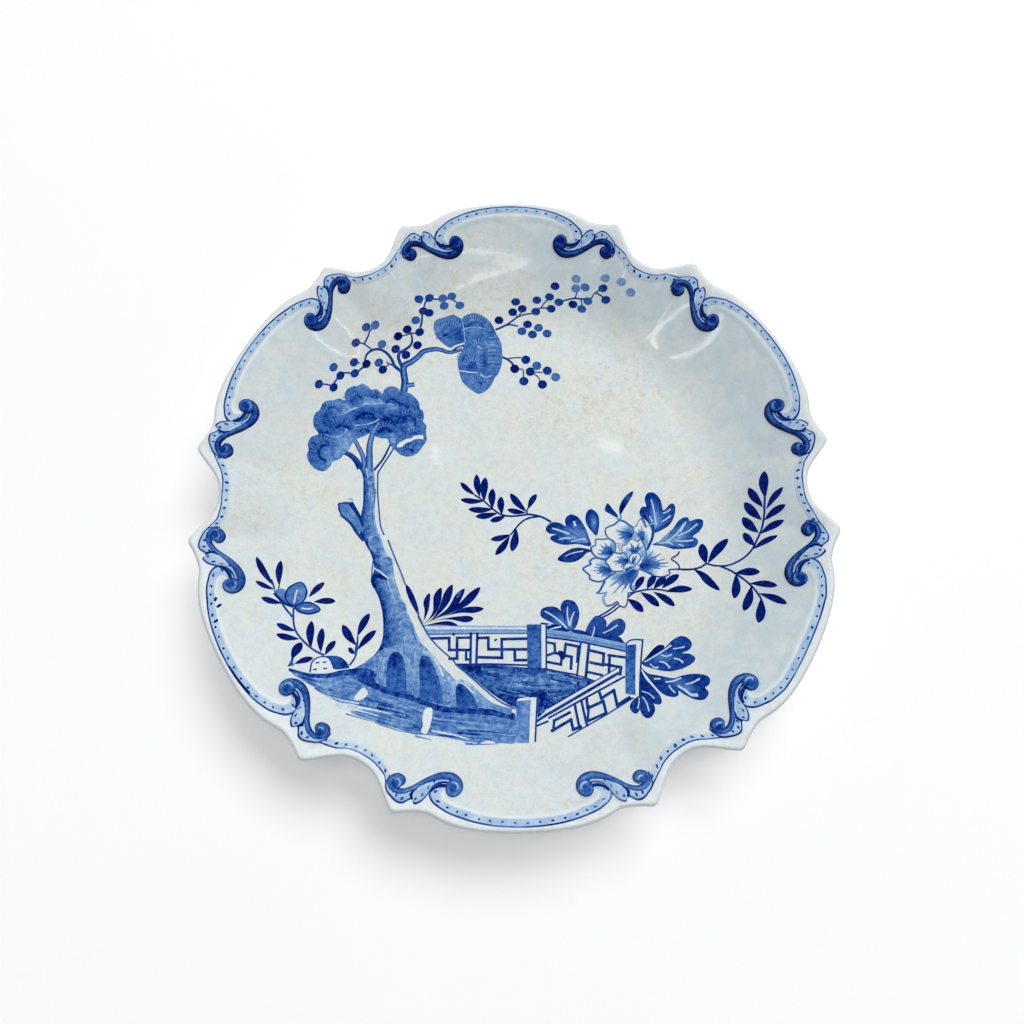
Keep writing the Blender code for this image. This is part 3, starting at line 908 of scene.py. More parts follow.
class Transfer:
    """One printed motif: cobalt shapes drawn one by one on the plan, in millimetres."""

    def __init__(self, cell):
        self.cell = cell
        self.film = bmesh.new()
        self.count = 0

    def fresh(self):
        """A blank sheet for the next shape."""
        self.sheet = bmesh.new()
        self.tone = self.sheet.verts.layers.float.new("tone")
        self.grain = self.sheet.verts.layers.float.new("grain")
        self.lift = self.sheet.verts.layers.float.new("lift")
        return self.sheet

    def settle(self, layer):
        """Adds the sheet to the film, above what was drawn before it on the same layer."""
        self.count += 1
        for vert in self.sheet.verts:
            vert[self.lift] = FILM_LIFT + FILM_LAYER * layer + FILM_STEP * self.count
        drawn = bpy.data.meshes.new("drawn")
        self.sheet.to_mesh(drawn)
        self.sheet.free()
        self.film.from_mesh(drawn)
        bpy.data.meshes.remove(drawn)

    def ink(self, tone, grain):
        """Gives every point of the sheet its grain and a tone, which may change over the plan."""
        for vert in self.sheet.verts:
            vert[self.tone] = tone(vert.co.x, vert.co.y) if callable(tone) else tone
            vert[self.grain] = grain

    def patch(self, knots, tone, layer=0, grain=0.5, steps=3):
        """A filled shape with a smooth outline, or a straight-sided one with steps=1. It is cut
        on a grid, so that it can follow the wall and its tone can change over it."""
        outline = smooth_path(knots, steps, closed=True) if steps > 1 else knots
        sheet = self.fresh()
        face = sheet.faces.new([sheet.verts.new((x, y, 0)) for x, y in outline])
        face.normal_update()
        bmesh.ops.triangulate(sheet, faces=[face], ngon_method="EAR_CLIP")
        for axis, square in ((0, (1, 0, 0)), (1, (0, 1, 0))):
            low = min(point[axis] for point in outline)
            high = max(point[axis] for point in outline)
            for step in range(math.ceil(low / self.cell), math.floor(high / self.cell) + 1):
                bmesh.ops.bisect_plane(
                    sheet, geom=sheet.verts[:] + sheet.edges[:] + sheet.faces[:], dist=WELD_REACH,
                    plane_co=[step * self.cell * part for part in square], plane_no=square)
        bmesh.ops.dissolve_degenerate(sheet, dist=SLIVER, edges=sheet.edges)
        self.ink(tone, grain)
        self.settle(layer)

    def disc(self, x, y, radius, tone, layer=1, grain=0.3):
        """A dot, narrower outwards where the wall that it lies on is steep."""
        beyond = clamp((math.hypot(x, y) - DOT_NARROWS_FROM) / DOT_NARROWS_OVER)
        narrow = 1 - DOT_NARROWING * ease(beyond)
        turn = Matrix.Rotation(math.atan2(y, x), 4, "Z")
        bmesh.ops.create_circle(
            self.fresh(), cap_ends=True, cap_tris=True, segments=DOT_SIDES, radius=radius,
            matrix=Matrix.Translation((x, y, 0)) @ turn @ Matrix.Diagonal((narrow, 1, 1, 1)))
        self.ink(tone, grain)
        self.settle(layer)

    def wash(self, first, second, tones, layer=0, grain=0.5, rows=6):
        """A brush stroke between two edges, with its tones spread evenly from one to the other."""
        last = len(tones) - 1
        for vert, _, share in ribbon(self.fresh(), *dense(first, second), rows):
            low = min(int(share * last), last - 1)
            part = share * last - low
            vert[self.tone] = tones[low] + (tones[low + 1] - tones[low]) * part
            vert[self.grain] = grain
        self.settle(layer)

    def stroke(self, knots, width, end=None, tone=0.86, layer=1, grain=0.3, steps=4, fade=None):
        """A line of ink along a smooth path, its width and its tone running from the first to
        the end's."""
        path = smooth_path(knots, steps) if steps > 1 else list(knots)
        fade = tone if fade is None else fade
        edges = dense(*edges_of(tapered(path, width, end)))
        for vert, station, _ in ribbon(self.fresh(), *edges, 1):
            vert[self.tone] = tone + (fade - tone) * station / (len(edges[0]) - 1)
            vert[self.grain] = grain
        self.settle(layer)

    def limb(self, knots, width, end=None, tones=(0.92, 0.7, 0.45, 0.62, 0.9), layer=0):
        """A branch: dark along both edges and paler along its middle."""
        band = tapered(smooth_path(knots, 5), width, end)
        self.wash(*edges_of(band), tones, layer, grain=0.35)

    def fret(self, knots, width, tone=0.88, layer=1, grain=0.35):
        """Straight lines from knot to knot with square corners."""
        half = width * FRET_SPREAD / 2
        for (ax, ay), (bx, by) in zip(knots, knots[1:]):
            length = math.hypot(bx - ax, by - ay)
            ux, uy = (bx - ax) / length * half, (by - ay) / length * half
            start, end = (ax - ux, ay - uy, half), (bx + ux, by + uy, half)
            self.wash(*edges_of([start, end]), (tone, tone), layer, grain, rows=1)

    def blade(self, knots, width, tone=0.97, layer=1, grain=0.3, swell=1.3):
        """A leaf from its base to its tip, widest beyond the middle and pointed."""
        path = smooth_path(knots, 12 if len(knots) < 3 else 6)
        last = len(path) - 1
        band = [
            (x, y, max(BLADE_TIP, width / 2 * math.sin(math.pi * (i / last) ** swell) ** BLADE_ROUND))
            for i, (x, y) in enumerate(path)
        ]
        self.wash(*edges_of(band), (tone, tone), layer, grain, rows=2)

    def streaks(self, first, second, rows, tones, width, layer=2, seed=1, fill=0.6):
        """Broken lines of a dry brush, laid between two guide lines in ever new lengths."""
        chance = random.Random(seed)
        first, second = smooth_path(first, 8), smooth_path(second, 8)
        last = len(first) - 1
        for row in range(rows):
            share = (row + chance.uniform(0.1, 0.9)) / rows
            path = [
                (ax + (bx - ax) * share, ay + (by - ay) * share)
                for (ax, ay), (bx, by) in zip(first, second)
            ]
            start = int(chance.uniform(*DASH_START) * last)
            while start < last - 2:
                end = min(last, start + max(2, int(chance.uniform(*DASH_LENGTH) * last)))
                if chance.random() < fill:
                    tone = chance.uniform(*tones)
                    wide = width * chance.uniform(*DASH_WIDTH)
                    dash = path[start:end + 1]
                    self.stroke(dash, wide, DASH_END, tone, layer, grain=0.6, steps=1)
                start = end + int(chance.uniform(*DASH_GAP) * last)

    def leaves(self, sprigs, **how):
        """Leaves given as (tip x, tip y, base x, base y, width), each a little bowed."""
        for tx, ty, bx, by, width in sprigs:
            bowed_x = (tx + bx) / 2 - LEAF_BOW * (ty - by)
            bowed_y = (ty + by) / 2 + LEAF_BOW * (tx - bx)
            self.blade(((bx, by), (bowed_x, bowed_y), (tx, ty)), width, **how)

    def fire(self, name, finish):
        """Lays the film on the dish and closes it below, with a map of the plan for baking."""
        film = self.film
        lift = film.verts.layers.float["lift"]
        bmesh.ops.recalc_face_normals(film, faces=film.faces)
        bmesh.ops.reverse_faces(film, faces=[face for face in film.faces if face.normal.z < 0])
        for vert in film.verts:
            vert.co.z = surface_height(vert.co.x, vert.co.y) + vert[lift]
        close_below(film, FILM_SINK)
        low = [min(vert.co[axis] for vert in film.verts) for axis in (0, 1)]
        side = max(max(vert.co[axis] for vert in film.verts) - low[axis] for axis in (0, 1))
        plan = film.loops.layers.uv.new("OFBake")
        for face in film.faces:
            for loop in face.loops:
                loop[plan].uv = [(loop.vert.co[axis] - low[axis]) / side for axis in (0, 1)]
        piece = make_piece(name, film, finish, crease=30)
        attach(piece, "root")
        return piece


print_ink = cobalt_paint("print_ink")
tree = Transfer(1)

# The trunk, dark down its left side, with its cut stub, bark and outlines.
TRUNK = (
    ((-59.6, 15.6), (-53.5, 15.6)), ((-57.6, 11.5), (-53.2, 11)), ((-57.2, 5), (-52.8, 5)),
    ((-57.2, 0), (-52.7, 0)), ((-57.9, -4.5), (-52.5, -5)), ((-58.4, -10), (-51.5, -9.5)),
    ((-56.2, -13.8), (-49.8, -13.5)), ((-54.5, -17), (-48.9, -17)), ((-53.1, -20.5), (-46.9, -20.5)),
    ((-52.3, -24.5), (-45.4, -24)), ((-53.3, -28), (-44.7, -28)), ((-52.2, -31.5), (-43.7, -31.5)),
    ((-50.5, -35), (-42.3, -35)), ((-49.2, -39.5), (-40.4, -39)), ((-48.6, -44), (-38.4, -44)),
    ((-48.6, -49), (-36.2, -49)), ((-49.6, -53), (-34.4, -52.5)), ((-51.6, -56), (-32.4, -55.5)),
)
left = smooth_path([pair[0] for pair in TRUNK], 3)
right = smooth_path([pair[1] for pair in TRUNK], 3)
tree.wash(left, right, (0.93, 0.8, 0.66, 0.6, 0.56, 0.52, 0.47, 0.36), 0, 0.8, 14)
middle = [((ax + bx) / 2, (ay + by) / 2) for (ax, ay), (bx, by) in zip(left, right)]
tree.streaks(left[::6], middle[::6], 6, (0.68, 0.86), 0.6, 1, 3)
tree.streaks(middle[::6], right[::6], 8, (0.3, 0.66), 0.9, 1, 4)
tree.patch(
    ((-66.6, 0.7), (-61.4, 1.1), (-58.6, -3), (-56, -8.5), (-59.3, -10.6), (-61.8, -7), (-65.3, -3.8)),
    dabbed(0.6, (-61, -3, 1.2, 3, -0.12)), 1, 0.5, 2)
tree.stroke(((-61.8, 0.9), (-60.3, -1.4), (-58.2, -4.8), (-56.8, -8.5)), 2, 0.7, 0.9, 2)
tree.stroke(((-66.4, 0.7), (-65.9, -1.5), (-65.2, -3.7)), 0.6, 0.6, 0.85, 2)
tree.stroke(((-65.3, -3.7), (-61.6, -6.9), (-59.3, -10.4), (-56.4, -13.8)), 0.9, 1.1, 0.86, 2)
tree.stroke(((-66.4, 0.8), (-63.5, 0.9), (-61.4, 1)), 0.5, 0.7, 0.8, 2)
tree.stroke(((-62.6, 2.4), (-61.6, 2.6), (-61, 1.8)), 0.35, 0.3, 0.5, 2)
tree.stroke(((-52.4, -24.2), (-49.6, -26), (-47, -28.3)), 0.55, 0.4, 0.08, 3)
tree.patch(
    ((-53.5, -28.6), (-52.9, -26.8), (-51.2, -26.1), (-49.2, -26.9), (-47.2, -28.6), (-49.4, -28.4),
     (-51.4, -27.9), (-52, -29.4), (-51.2, -32.6), (-52.7, -31)), 0.93, 2, 0.3)
for bark in (
    ((-50.6, -20.8), (-48.4, -19.8), (-46.2, -20.6), (-45.4, -23.2), (-46.2, -26.4), (-49.4, -24.8)),
    ((-45.2, -37.6), (-43.2, -36.4), (-41, -37.4), (-40.2, -39.6), (-41.6, -42.4), (-45, -41)),
    ((-43, -45), (-40.6, -43.2), (-38.4, -44.2), (-37.4, -46.6), (-38.6, -49.6), (-42.6, -48.6)),
    ((-37.6, -53.4), (-36.2, -52), (-34.4, -52.4), (-33.4, -54.4), (-34.6, -56.4), (-36.8, -55.8)),
    ((-54.8, -13.2), (-52.4, -11.8), (-50.6, -12.8), (-49.8, -15.4), (-51.2, -18.2), (-54, -17)),
    ((-55.6, 11.2), (-54.4, 12), (-53.2, 11), (-53, 7), (-53.8, 3.6), (-55.2, 6)),
):
    tree.patch(bark, dabbed(0.52, (*bark[2], 1.6, 1.6, 0.1)), 1, 0.8)
    tree.stroke(bark[:4], 0.5, 0.4, 0.36, 2, 0.5)
for outline in (
    ((-51.9, 12.6), (-51.8, 5), (-51.1, -2), (-50.4, -8), (-49, -11.7)),
    ((-47.5, -13.6), (-45, -20), (-42.5, -26), (-40.8, -30.6)),
    ((-36.4, -40.4), (-34.4, -45.2), (-32, -49.5), (-28.5, -53.5), (-24, -57.5), (-22, -60)),
    ((-22, -60), (-17, -64.2), (-12, -68.7), (-7, -72.7), (-1.6, -75.4)),
):
    tree.stroke(outline, 0.55, 0.5, 0.78, 2)

# Branches below and above the lower crown.
tree.limb(((-58.6, 14.6), (-60.2, 17.6), (-62.6, 20), (-65.2, 21.2)), 2.6, 1.6, (0.95, 0.9, 0.85, 0.8, 0.9))
tree.limb(((-57, 15.5), (-58, 20), (-60, 24), (-61.8, 27.6), (-62.4, 30)), 1.9, 1.4)
tree.limb(((-55.4, 13), (-55.3, 18), (-55.3, 24), (-54.1, 29.5)), 3, 2)
tree.stroke(((-53.5, 13.6), (-50.2, 18), (-48.2, 22.2), (-47, 25.4)), 0.9, 0.7, 0.86)
tree.stroke(((-51.9, 12.6), (-49.6, 16.6), (-46.9, 21), (-45.9, 23.4)), 0.6, 0.6, 0.82)
tree.limb(
    ((-42.8, 45), (-42.2, 50), (-42.9, 55), (-42.3, 57.4), (-39.8, 58.8), (-37.2, 61), (-35, 63.2),
     (-31, 64.2), (-28, 63.9), (-25.5, 62.9), (-23, 63), (-19.6, 64)), 3, 1.3,
    (0.96, 0.86, 0.5, 0.7, 0.94))
tree.limb(((-41.4, 48.6), (-38.4, 49.1)), 1.9, 1.9, layer=1)
TWIG_SPREAD = 1.2
for twig, width, end in (
    (((-43.4, 56.6), (-44.7, 59.8), (-44.6, 62), (-42.6, 63.5), (-40.4, 65.2), (-39.5, 67), (-39.5, 69),
      (-40.2, 70.3)), 1.2, 0.5),
    (((-43.4, 54.6), (-46.4, 57), (-47.3, 59.3), (-49.2, 61.8), (-52, 63.1), (-54.8, 62.5), (-57, 60.5),
      (-57.8, 57.5)), 1.2, 0.5),
    (((-54.8, 62.6), (-57.8, 64.3), (-59.5, 64.5)), 0.5, 0.4),
    (((-57.8, 64.3), (-56.2, 67.5), (-55.6, 69.3), (-54.5, 70.5)), 0.5, 0.4),
    (((-57.5, 56.5), (-59.7, 54.5), (-61.5, 53), (-65, 52.8), (-67, 51.5), (-69, 48.6), (-69.5, 47.3),
      (-72, 47.5), (-74, 47.2)), 0.55, 0.45),
    (((-59.5, 57.2), (-61, 57)), 0.4, 0.4), (((-46.7, 57.2), (-48.3, 57.7), (-49.5, 58.6)), 0.6, 0.35),
    (((-48.3, 57.7), (-49.8, 56.6)), 0.4, 0.4), (((-40, 70.2), (-38, 70.2)), 0.4, 0.4),
    (((-40.3, 69.9), (-42.5, 69), (-44, 68.6)), 0.4, 0.3),
    (((-36.2, 72.5), (-35.5, 74.8), (-35.2, 77.5), (-34.6, 79.5), (-34, 81.5), (-33, 83)), 0.7, 0.5),
    (((-33, 83.2), (-29.5, 83.3), (-27, 83.2), (-24.5, 83.8), (-22.5, 83.2), (-21, 82.2)), 0.5, 0.4),
    (((-36, 83), (-35.5, 81)), 0.4, 0.4),
    (((-6.2, 72.4), (-2, 74.3), (1, 76.3), (3, 77.6), (6, 78.5), (8.6, 78.7)), 0.7, 0.4),
    (((2.9, 77.6), (1.5, 79)), 0.4, 0.4), (((3.3, 78), (4.6, 79.5)), 0.4, 0.4),
    (((-2, 74.4), (0, 74.5), (3, 73.8)), 0.7, 0.4), (((10.5, 80), (12.3, 80.7), (15, 80.5)), 0.45, 0.4),
    (((12.3, 80.7), (13.5, 82.3), (15, 83.6)), 0.4, 0.4),
    (((19.5, 82.5), (22, 82.9), (25.5, 83.3), (29, 82.8), (32, 82.5), (33.5, 84.3), (35.8, 85.2)), 0.45,
     0.4),
    (((34, 84.5), (36, 83.2), (37.2, 82)), 0.4, 0.4), (((25.9, 83.3), (26.6, 85), (26.4, 86.2)), 0.4, 0.4),
    (((28.3, 83), (28.8, 80.5)), 0.4, 0.4), (((-4.4, 60.6), (-1.8, 59.5), (0.3, 57.5), (1, 56)), 0.8, 0.7),
    (((-1.5, 59.7), (1, 60), (4, 60.1)), 0.5, 0.4), (((3, 55), (4.4, 54.8), (4.6, 51.5)), 0.45, 0.45),
    (((9, 53.7), (12, 53.5)), 0.4, 0.4), (((8.7, 53), (10.3, 51.6), (11, 50)), 0.4, 0.4),
):
    tree.stroke(twig, width * TWIG_SPREAD, end * TWIG_SPREAD, 0.86)

# The lower crown, mottled, with pale gaps between its clouds of leaves.
LOWER_CROWN = (
    (-70, 15.5), (-72.3, 13.6), (-75, 14.1), (-77.2, 16), (-78.5, 19), (-78, 21.5), (-78.3, 24),
    (-77, 26.8), (-74.6, 28.1), (-76.2, 30.5), (-76.6, 33.5), (-75.8, 36), (-74.2, 37.6), (-73.3, 40),
    (-71.2, 41.5), (-69.5, 41.6), (-67.5, 42.7), (-65, 42.2), (-65.4, 44.5), (-64.2, 46.8), (-62, 48),
    (-60.5, 48.2), (-58.8, 49.3), (-56.5, 48.3), (-55.4, 47), (-53.3, 47.3), (-52, 45.9), (-50.8, 45.4),
    (-50.2, 47.2), (-47.5, 48.4), (-44.8, 47.5), (-43.3, 45.9), (-40.5, 45.4), (-38, 43.4), (-36.5, 41),
    (-36.2, 38.7), (-35, 37.8), (-34.6, 35), (-34.9, 33.2), (-33.6, 31.7), (-33.8, 29), (-33.4, 25.7),
    (-35, 23), (-36.8, 20.6), (-38.5, 19.5), (-41, 19), (-43.5, 19.8), (-45.3, 21.5), (-47, 23.2),
    (-48.2, 25.2), (-48.8, 26.6), (-50.5, 26.6), (-53, 27.4), (-55, 28.8), (-57.5, 27.7), (-60, 26.6),
    (-62, 24.6), (-63.5, 21.8), (-65, 20.5), (-66.5, 18.6), (-69.3, 17.4),
)
tree.patch(
    LOWER_CROWN,
    dabbed(0.6, (-73, 34, 2.5, 4, 0.2), (-71, 37.5, 3, 2, 0.1), (-63, 43.5, 2, 2.2, 0.22),
           (-60, 45, 3, 2, 0.08), (-54.5, 45.5, 2, 1.5, 0.15), (-48.5, 43, 2.5, 1.8, 0.2),
           (-43.5, 42.5, 2, 3, 0.14), (-40, 40, 2, 2, 0.14), (-57, 37, 4.5, 2.1, 0.34),
           (-66.5, 33, 2.5, 1.8, 0.22), (-48, 35, 3, 1.8, 0.22), (-43, 34, 1.8, 4, 0.22),
           (-38, 36, 2.2, 2.5, 0.2), (-49.5, 31, 3, 2.3, 0.28), (-57.5, 30.5, 3.5, 1.6, 0.2),
           (-76, 21.5, 2, 3.5, 0.22), (-71.5, 27, 2, 2.5, 0.2), (-41, 24, 3, 1.4, 0.18),
           (-37, 29.5, 2.5, 1.5, 0.12), (-60, 47.7, 4, 1, -0.12), (-56, 42, 3, 1.2, -0.14),
           (-67, 37.5, 2.5, 2, -0.14), (-64.5, 25, 3, 3.2, -0.18), (-63, 39.3, 2.5, 1, -0.2),
           (-46, 38.5, 2.5, 1.5, -0.18), (-45, 46.5, 3, 1, -0.1), (-52, 41, 3, 1, -0.14),
           (-40, 31.5, 2, 1.5, -0.1), (-46.5, 27, 1.5, 2, -0.12), (-71, 18.5, 3.5, 2.5, -0.05)), 1, 0.75)
for streak, width, tone in (
    (((-65.2, 37), (-62.5, 38.8), (-59.8, 39.6)), 0.8, 0.3),
    (((-62, 32.3), (-57.5, 32.3), (-54, 33.3), (-52, 34.6)), 0.6, 0.24),
    (((-58.5, 41), (-54, 40.9), (-50, 41.3), (-46, 40.3)), 0.7, 0.36),
    (((-51.3, 45.4), (-52.2, 43.4), (-51, 41.5)), 0.8, 0.4),
    (((-64, 31.5), (-65.5, 28.5), (-69, 27.2), (-72.5, 28.4)), 0.6, 0.42),
    (((-54, 28.9), (-53, 31.5), (-51.6, 33.2)), 0.8, 0.38),
):
    tree.stroke(streak, width, width * 0.6, tone, 2, 0.5)
# A white gap across the lower crown, left bare of ink. It is partly a gap in the print and partly a painted
# reflection of a lamp on the glaze.
tree.patch(
    ((-44.7, 22.8), (-44.5, 24.2), (-43, 25.2), (-41, 26.3), (-39.5, 26.3), (-38.5, 27.2), (-37, 27.8),
     (-35, 27.6), (-34.7, 26), (-36.5, 26.2), (-38.3, 25.9), (-39.8, 25), (-41.5, 24.5), (-42.8, 23)), -0.1,
    3, 0.1, 2)

# Short rows of hatching that round the clouds of foliage.
HATCH_LEAN = 0.2
HATCH_STAGGER = 0.9
for cx, cy, radius, start, end, count, length, tone in (
    (-47.2, 40.6, 1.8, 160, 30, 12, 3, 0.9), (-45, 36, 4.8, 85, 10, 14, 2.6, 0.93),
    (-57, 33.4, 3.4, 165, 25, 18, 2.6, 0.97), (-66, 28.2, 3.2, 130, 40, 10, 3, 0.93),
    (-70, 34, 2.4, 250, 110, 12, 2.4, 0.88), (-60.6, 41.8, 2, 175, 50, 10, 2.6, 0.86),
    (-71.4, 21, 2.6, 260, 90, 15, 2.6, 0.9), (-49.5, 28.8, 1.6, 165, 15, 10, 2.6, 0.95),
    (-40.6, 33, 2.4, 130, -20, 11, 2.6, 0.9), (-57.5, 28.6, 1.6, 155, 30, 9, 2, 0.86),
    (-40.4, 20, 1.6, 150, 20, 8, 1.3, 0.84), (-54, 43.4, 0.8, 160, 20, 7, 2, 0.84),
    (-69.5, 37, 1.6, 140, 20, 8, 2.4, 0.76), (-72.6, 24, 1.2, 120, 0, 7, 2.4, 0.86),
    (-38.4, 27.6, 0.8, 150, 20, 7, 2, 0.84), (-14.2, 72, 3, 155, 10, 16, 2.8, 0.76),
    (-24.6, 71, 2.4, 215, 50, 13, 2.6, 0.72), (-15.6, 56.6, 1, 175, 5, 10, 2.6, 0.8),
    (-13.4, 48.4, 0.8, 175, 5, 11, 3, 0.74), (-13.2, 64, 1.4, 150, 30, 8, 2.4, 0.72),
    (-18, 60, 0.8, 200, 80, 7, 2.2, 0.74),
):
    for i in range(count):
        turn = math.radians(start + (end - start) * i / (count - 1))
        for inner, how in (
            (radius, (0.8, 0.3, tone, 2, 0.7, 2, 0.74)),
            (radius + HATCH_STAGGER, (0.4, 0.5, max(0.53, tone - 0.27), 2, 0.5, 2)),
        ):
            x = cx + inner * math.cos(turn)
            y = cy + inner * math.sin(turn)
            far_x = x + length * math.cos(turn - HATCH_LEAN)
            far_y = y + length * math.sin(turn - HATCH_LEAN)
            tree.stroke(((x, y), (far_x, far_y)), *how)
            turn += math.radians((end - start) / (count - 1) / 2)

# The upper crown, hatched down its right side, with the end of the branch over it.
UPPER_CROWN = (
    (-24.3, 64.8), (-27.3, 66.8), (-29.9, 69.5), (-30.9, 73), (-30, 75.7), (-26.7, 76.9), (-23, 78.1),
    (-19.8, 76.7), (-18.3, 78), (-14.3, 79), (-10.5, 77.6), (-7.8, 75), (-6.2, 71.5), (-4.1, 66.8),
    (-3.6, 62), (-4, 57), (-5.6, 52.8), (-6.8, 51.5), (-8, 48.7), (-10.3, 46), (-13.2, 44.7), (-16.3, 46.6),
    (-19.6, 50), (-20.9, 54.8), (-21.4, 58.8), (-20.2, 62.8), (-19.2, 64.8), (-20.2, 66.3), (-22.5, 65.9),
)
tree.patch(
    UPPER_CROWN,
    dabbed(0.63, (-17.5, 75.5, 1.5, 1.5, 0.22), (-8.5, 73, 1.5, 1.8, 0.2), (-12.2, 68, 1, 1.8, 0.2),
           (-11, 58.5, 0.9, 4, 0.26), (-16.5, 57, 2.2, 2, 0.2), (-22, 71.5, 2.5, 3, 0.12),
           (-20, 69.5, 1.5, 2, 0.14), (-13.5, 52, 1.2, 1.5, 0.12), (-9, 52.5, 2.5, 1, 0.12),
           (-12, 63, 1.5, 3, -0.14), (-11, 53.5, 1.5, 1.5, -0.16), (-8, 66.5, 1.8, 1, -0.16),
           (-14, 72, 3, 1, -0.1), (-27, 74, 2.5, 2, -0.03)), 1, 0.55)
for streak, width, tone in (
    (((-19.6, 76.6), (-18.8, 72), (-18.4, 66.2)), 0.5, 0.34),
    (((-20.9, 54.7), (-17, 54), (-13.4, 53.6)), 0.6, 0.22),
    (((-19.8, 72), (-17, 73.2), (-13, 73.4), (-10, 72.5)), 0.5, 0.4),
    (((-9.2, 67.2), (-6.2, 67.4)), 0.4, 0.3), (((-9.4, 66), (-6.4, 66.2)), 0.4, 0.3),
    (((-9.2, 63), (-6.2, 63.3)), 0.35, 0.34), (((-13.6, 65.4), (-12, 64.2)), 0.9, 0.36),
    (((-12.6, 53.2), (-10.5, 51.6), (-8, 52.4)), 0.8, 0.36),
):
    tree.stroke(streak, width, width * 0.7, tone, 3, 0.4)
for i in range(16):
    y = 55.4 + 0.9 * i
    tree.stroke(((-9.4, y), (-7, y + 0.2), (-4.7, y - 0.1)), 0.4, 0.25, 0.5 if i % 2 else 0.72, 3, 0.6, 2)
tree.stroke(((-27, 69.7), (-25, 70.7)), 1, 0.7, 0.97, 3)
tree.stroke(((-24.4, 63.6), (-22.2, 65.4), (-18.8, 66.5)), 0.8, 0.6, 0.06, 3)
tree.stroke(((-23.2, 63.6), (-21.2, 65), (-18.8, 65.7)), 0.6, 0.4, 0.84, 4)

# Berries on the twigs, each with a paler spot.
BERRY_RADIUS = 1.8
for x, y, tone in (
    (-74.5, 47.1, 0.9), (-69.3, 46.7, 0.94), (-66.8, 51.5, 0.94), (-69.2, 54.2, 0.8), (-61.5, 53, 0.9),
    (-61.7, 57.1, 0.9), (-57.1, 57, 1), (-60.8, 64.3, 0.9), (-56.8, 70.5, 0.85), (-53.4, 71.6, 0.68),
    (-51.1, 65.1, 0.72), (-52.4, 58, 0.8), (-50.9, 55.3, 0.96), (-45.9, 63.7, 0.94), (-41.9, 61.6, 0.96),
    (-37.4, 65.7, 1), (-44.8, 68.5, 1), (-41.2, 71.3, 1), (-36.4, 70.8, 0.96), (-37.8, 74.9, 0.76),
    (-34.8, 78.6, 0.96), (-32.5, 78.2, 0.94), (-36.3, 82.5, 0.86), (-32.2, 83.5, 0.9), (-27, 83.7, 0.76),
    (-23.4, 84.6, 0.76), (-26.5, 81.1, 0.76), (-20.3, 81.6, 0.72), (-4.7, 76.3, 1), (0.9, 79.4, 0.96),
    (2.2, 83.2, 0.9), (4.8, 80.6, 0.94), (10.2, 79.4, 0.9), (10.7, 83.6, 0.86), (15.8, 84.5, 0.9),
    (18, 88.1, 0.96), (19.5, 82.4, 0.86), (16.4, 80.2, 0.9), (25.1, 81.2, 0.96), (28.6, 79.3, 0.8),
    (31, 81.9, 0.76), (26.2, 86.6, 0.58), (26.3, 89.8, 0.52), (29.9, 86.7, 0.68), (36.8, 85.5, 0.9),
    (37.6, 88.8, 0.52), (37.9, 81.2, 0.9), (43.6, 86, 0.48), (47.2, 81.9, 0.52), (6.8, 74.5, 0.94),
    (4.5, 71.7, 0.8), (8.7, 70.2, 0.86), (11.2, 73, 0.76), (14.6, 70.5, 0.8), (5.7, 59.1, 0.94),
    (1.2, 55.2, 1), (7.3, 53.9, 0.94), (10, 56.4, 0.76), (14.1, 54.2, 0.9), (17.3, 51.4, 0.68),
    (4.7, 49.8, 0.9), (12, 48.3, 0.96),
):
    tree.disc(x, y, BERRY_RADIUS, dabbed(tone, (x - 0.5, y - 0.7, 0.7, 0.6, -0.1)), 2)
tree.fire("printed_tree", print_ink)

# The bank and roots: the printed ground that the tree stands on, in streaky mid blue, with
# pale roots that arch over dark hollows, and a round stone on the bank.
bank = Transfer(1.2)
# The ground, its dark upper edge and the streaks of a dry brush.
bank.patch(
    ((-78.6, -60.4), (-75, -61.7), (-72, -62.3), (-66, -62.5), (-63, -61.7), (-58.5, -60.6), (-54.5, -58.3),
     (-51, -55.5), (-46, -54), (-38, -53.5), (-33, -56), (-29, -60), (-23, -65.5), (-17, -70.5),
     (-10, -74.5), (-1.8, -77), (-1.5, -86.3), (-8, -86.2), (-12, -85.6), (-16, -87), (-22, -85),
     (-28, -83.8), (-33, -83.2), (-37, -82.8), (-42, -80.8), (-48, -78.8), (-54, -76.8), (-57.5, -75),
     (-53, -73.8), (-57, -72.6), (-61, -72), (-65, -70), (-68.5, -67.5), (-72, -65.5), (-76, -63)),
    dabbed(0.57, (-68, -66, 6, 2.5, -0.16), (-54, -74, 5, 1.5, -0.1), (-40, -76, 6, 2, -0.06),
           (-20, -78, 8, 3, 0.06), (-5, -84, 5, 2, -0.06), (-56, -63, 3, 1.5, 0.12),
           (-45, -79, 5, 1, -0.08)), 0, 0.75)
bank.stroke(
    ((-78.2, -60.8), (-72, -62.7), (-66, -62.9), (-62, -62), (-58, -61.6), (-54, -61.6), (-50.5, -63.6)),
    0.9, 3, 0.84, 1, 0.7)
bank.patch(
    ((-58, -61.4), (-54, -60.4), (-51, -61.4), (-50, -64), (-49.4, -67), (-53, -65), (-56, -63.4)), 0.86, 1,
    0.7)
bank.stroke(
    ((-56, -63.6), (-50, -66.4), (-45, -68.3), (-38, -70.5), (-32, -72.7), (-27, -74.6), (-20, -75.1),
     (-12, -75.8), (-2, -78)), 2.4, 2.4, 0.86, 1, 0.7)
bank.streaks(
    ((-76, -62.4), (-66, -64.4), (-56, -65.4), (-48, -69)),
    ((-72, -65), (-66, -69.4), (-58, -71.6), (-52, -72)), 9, (0.42, 0.86), 0.8, 2, 5, 0.7)
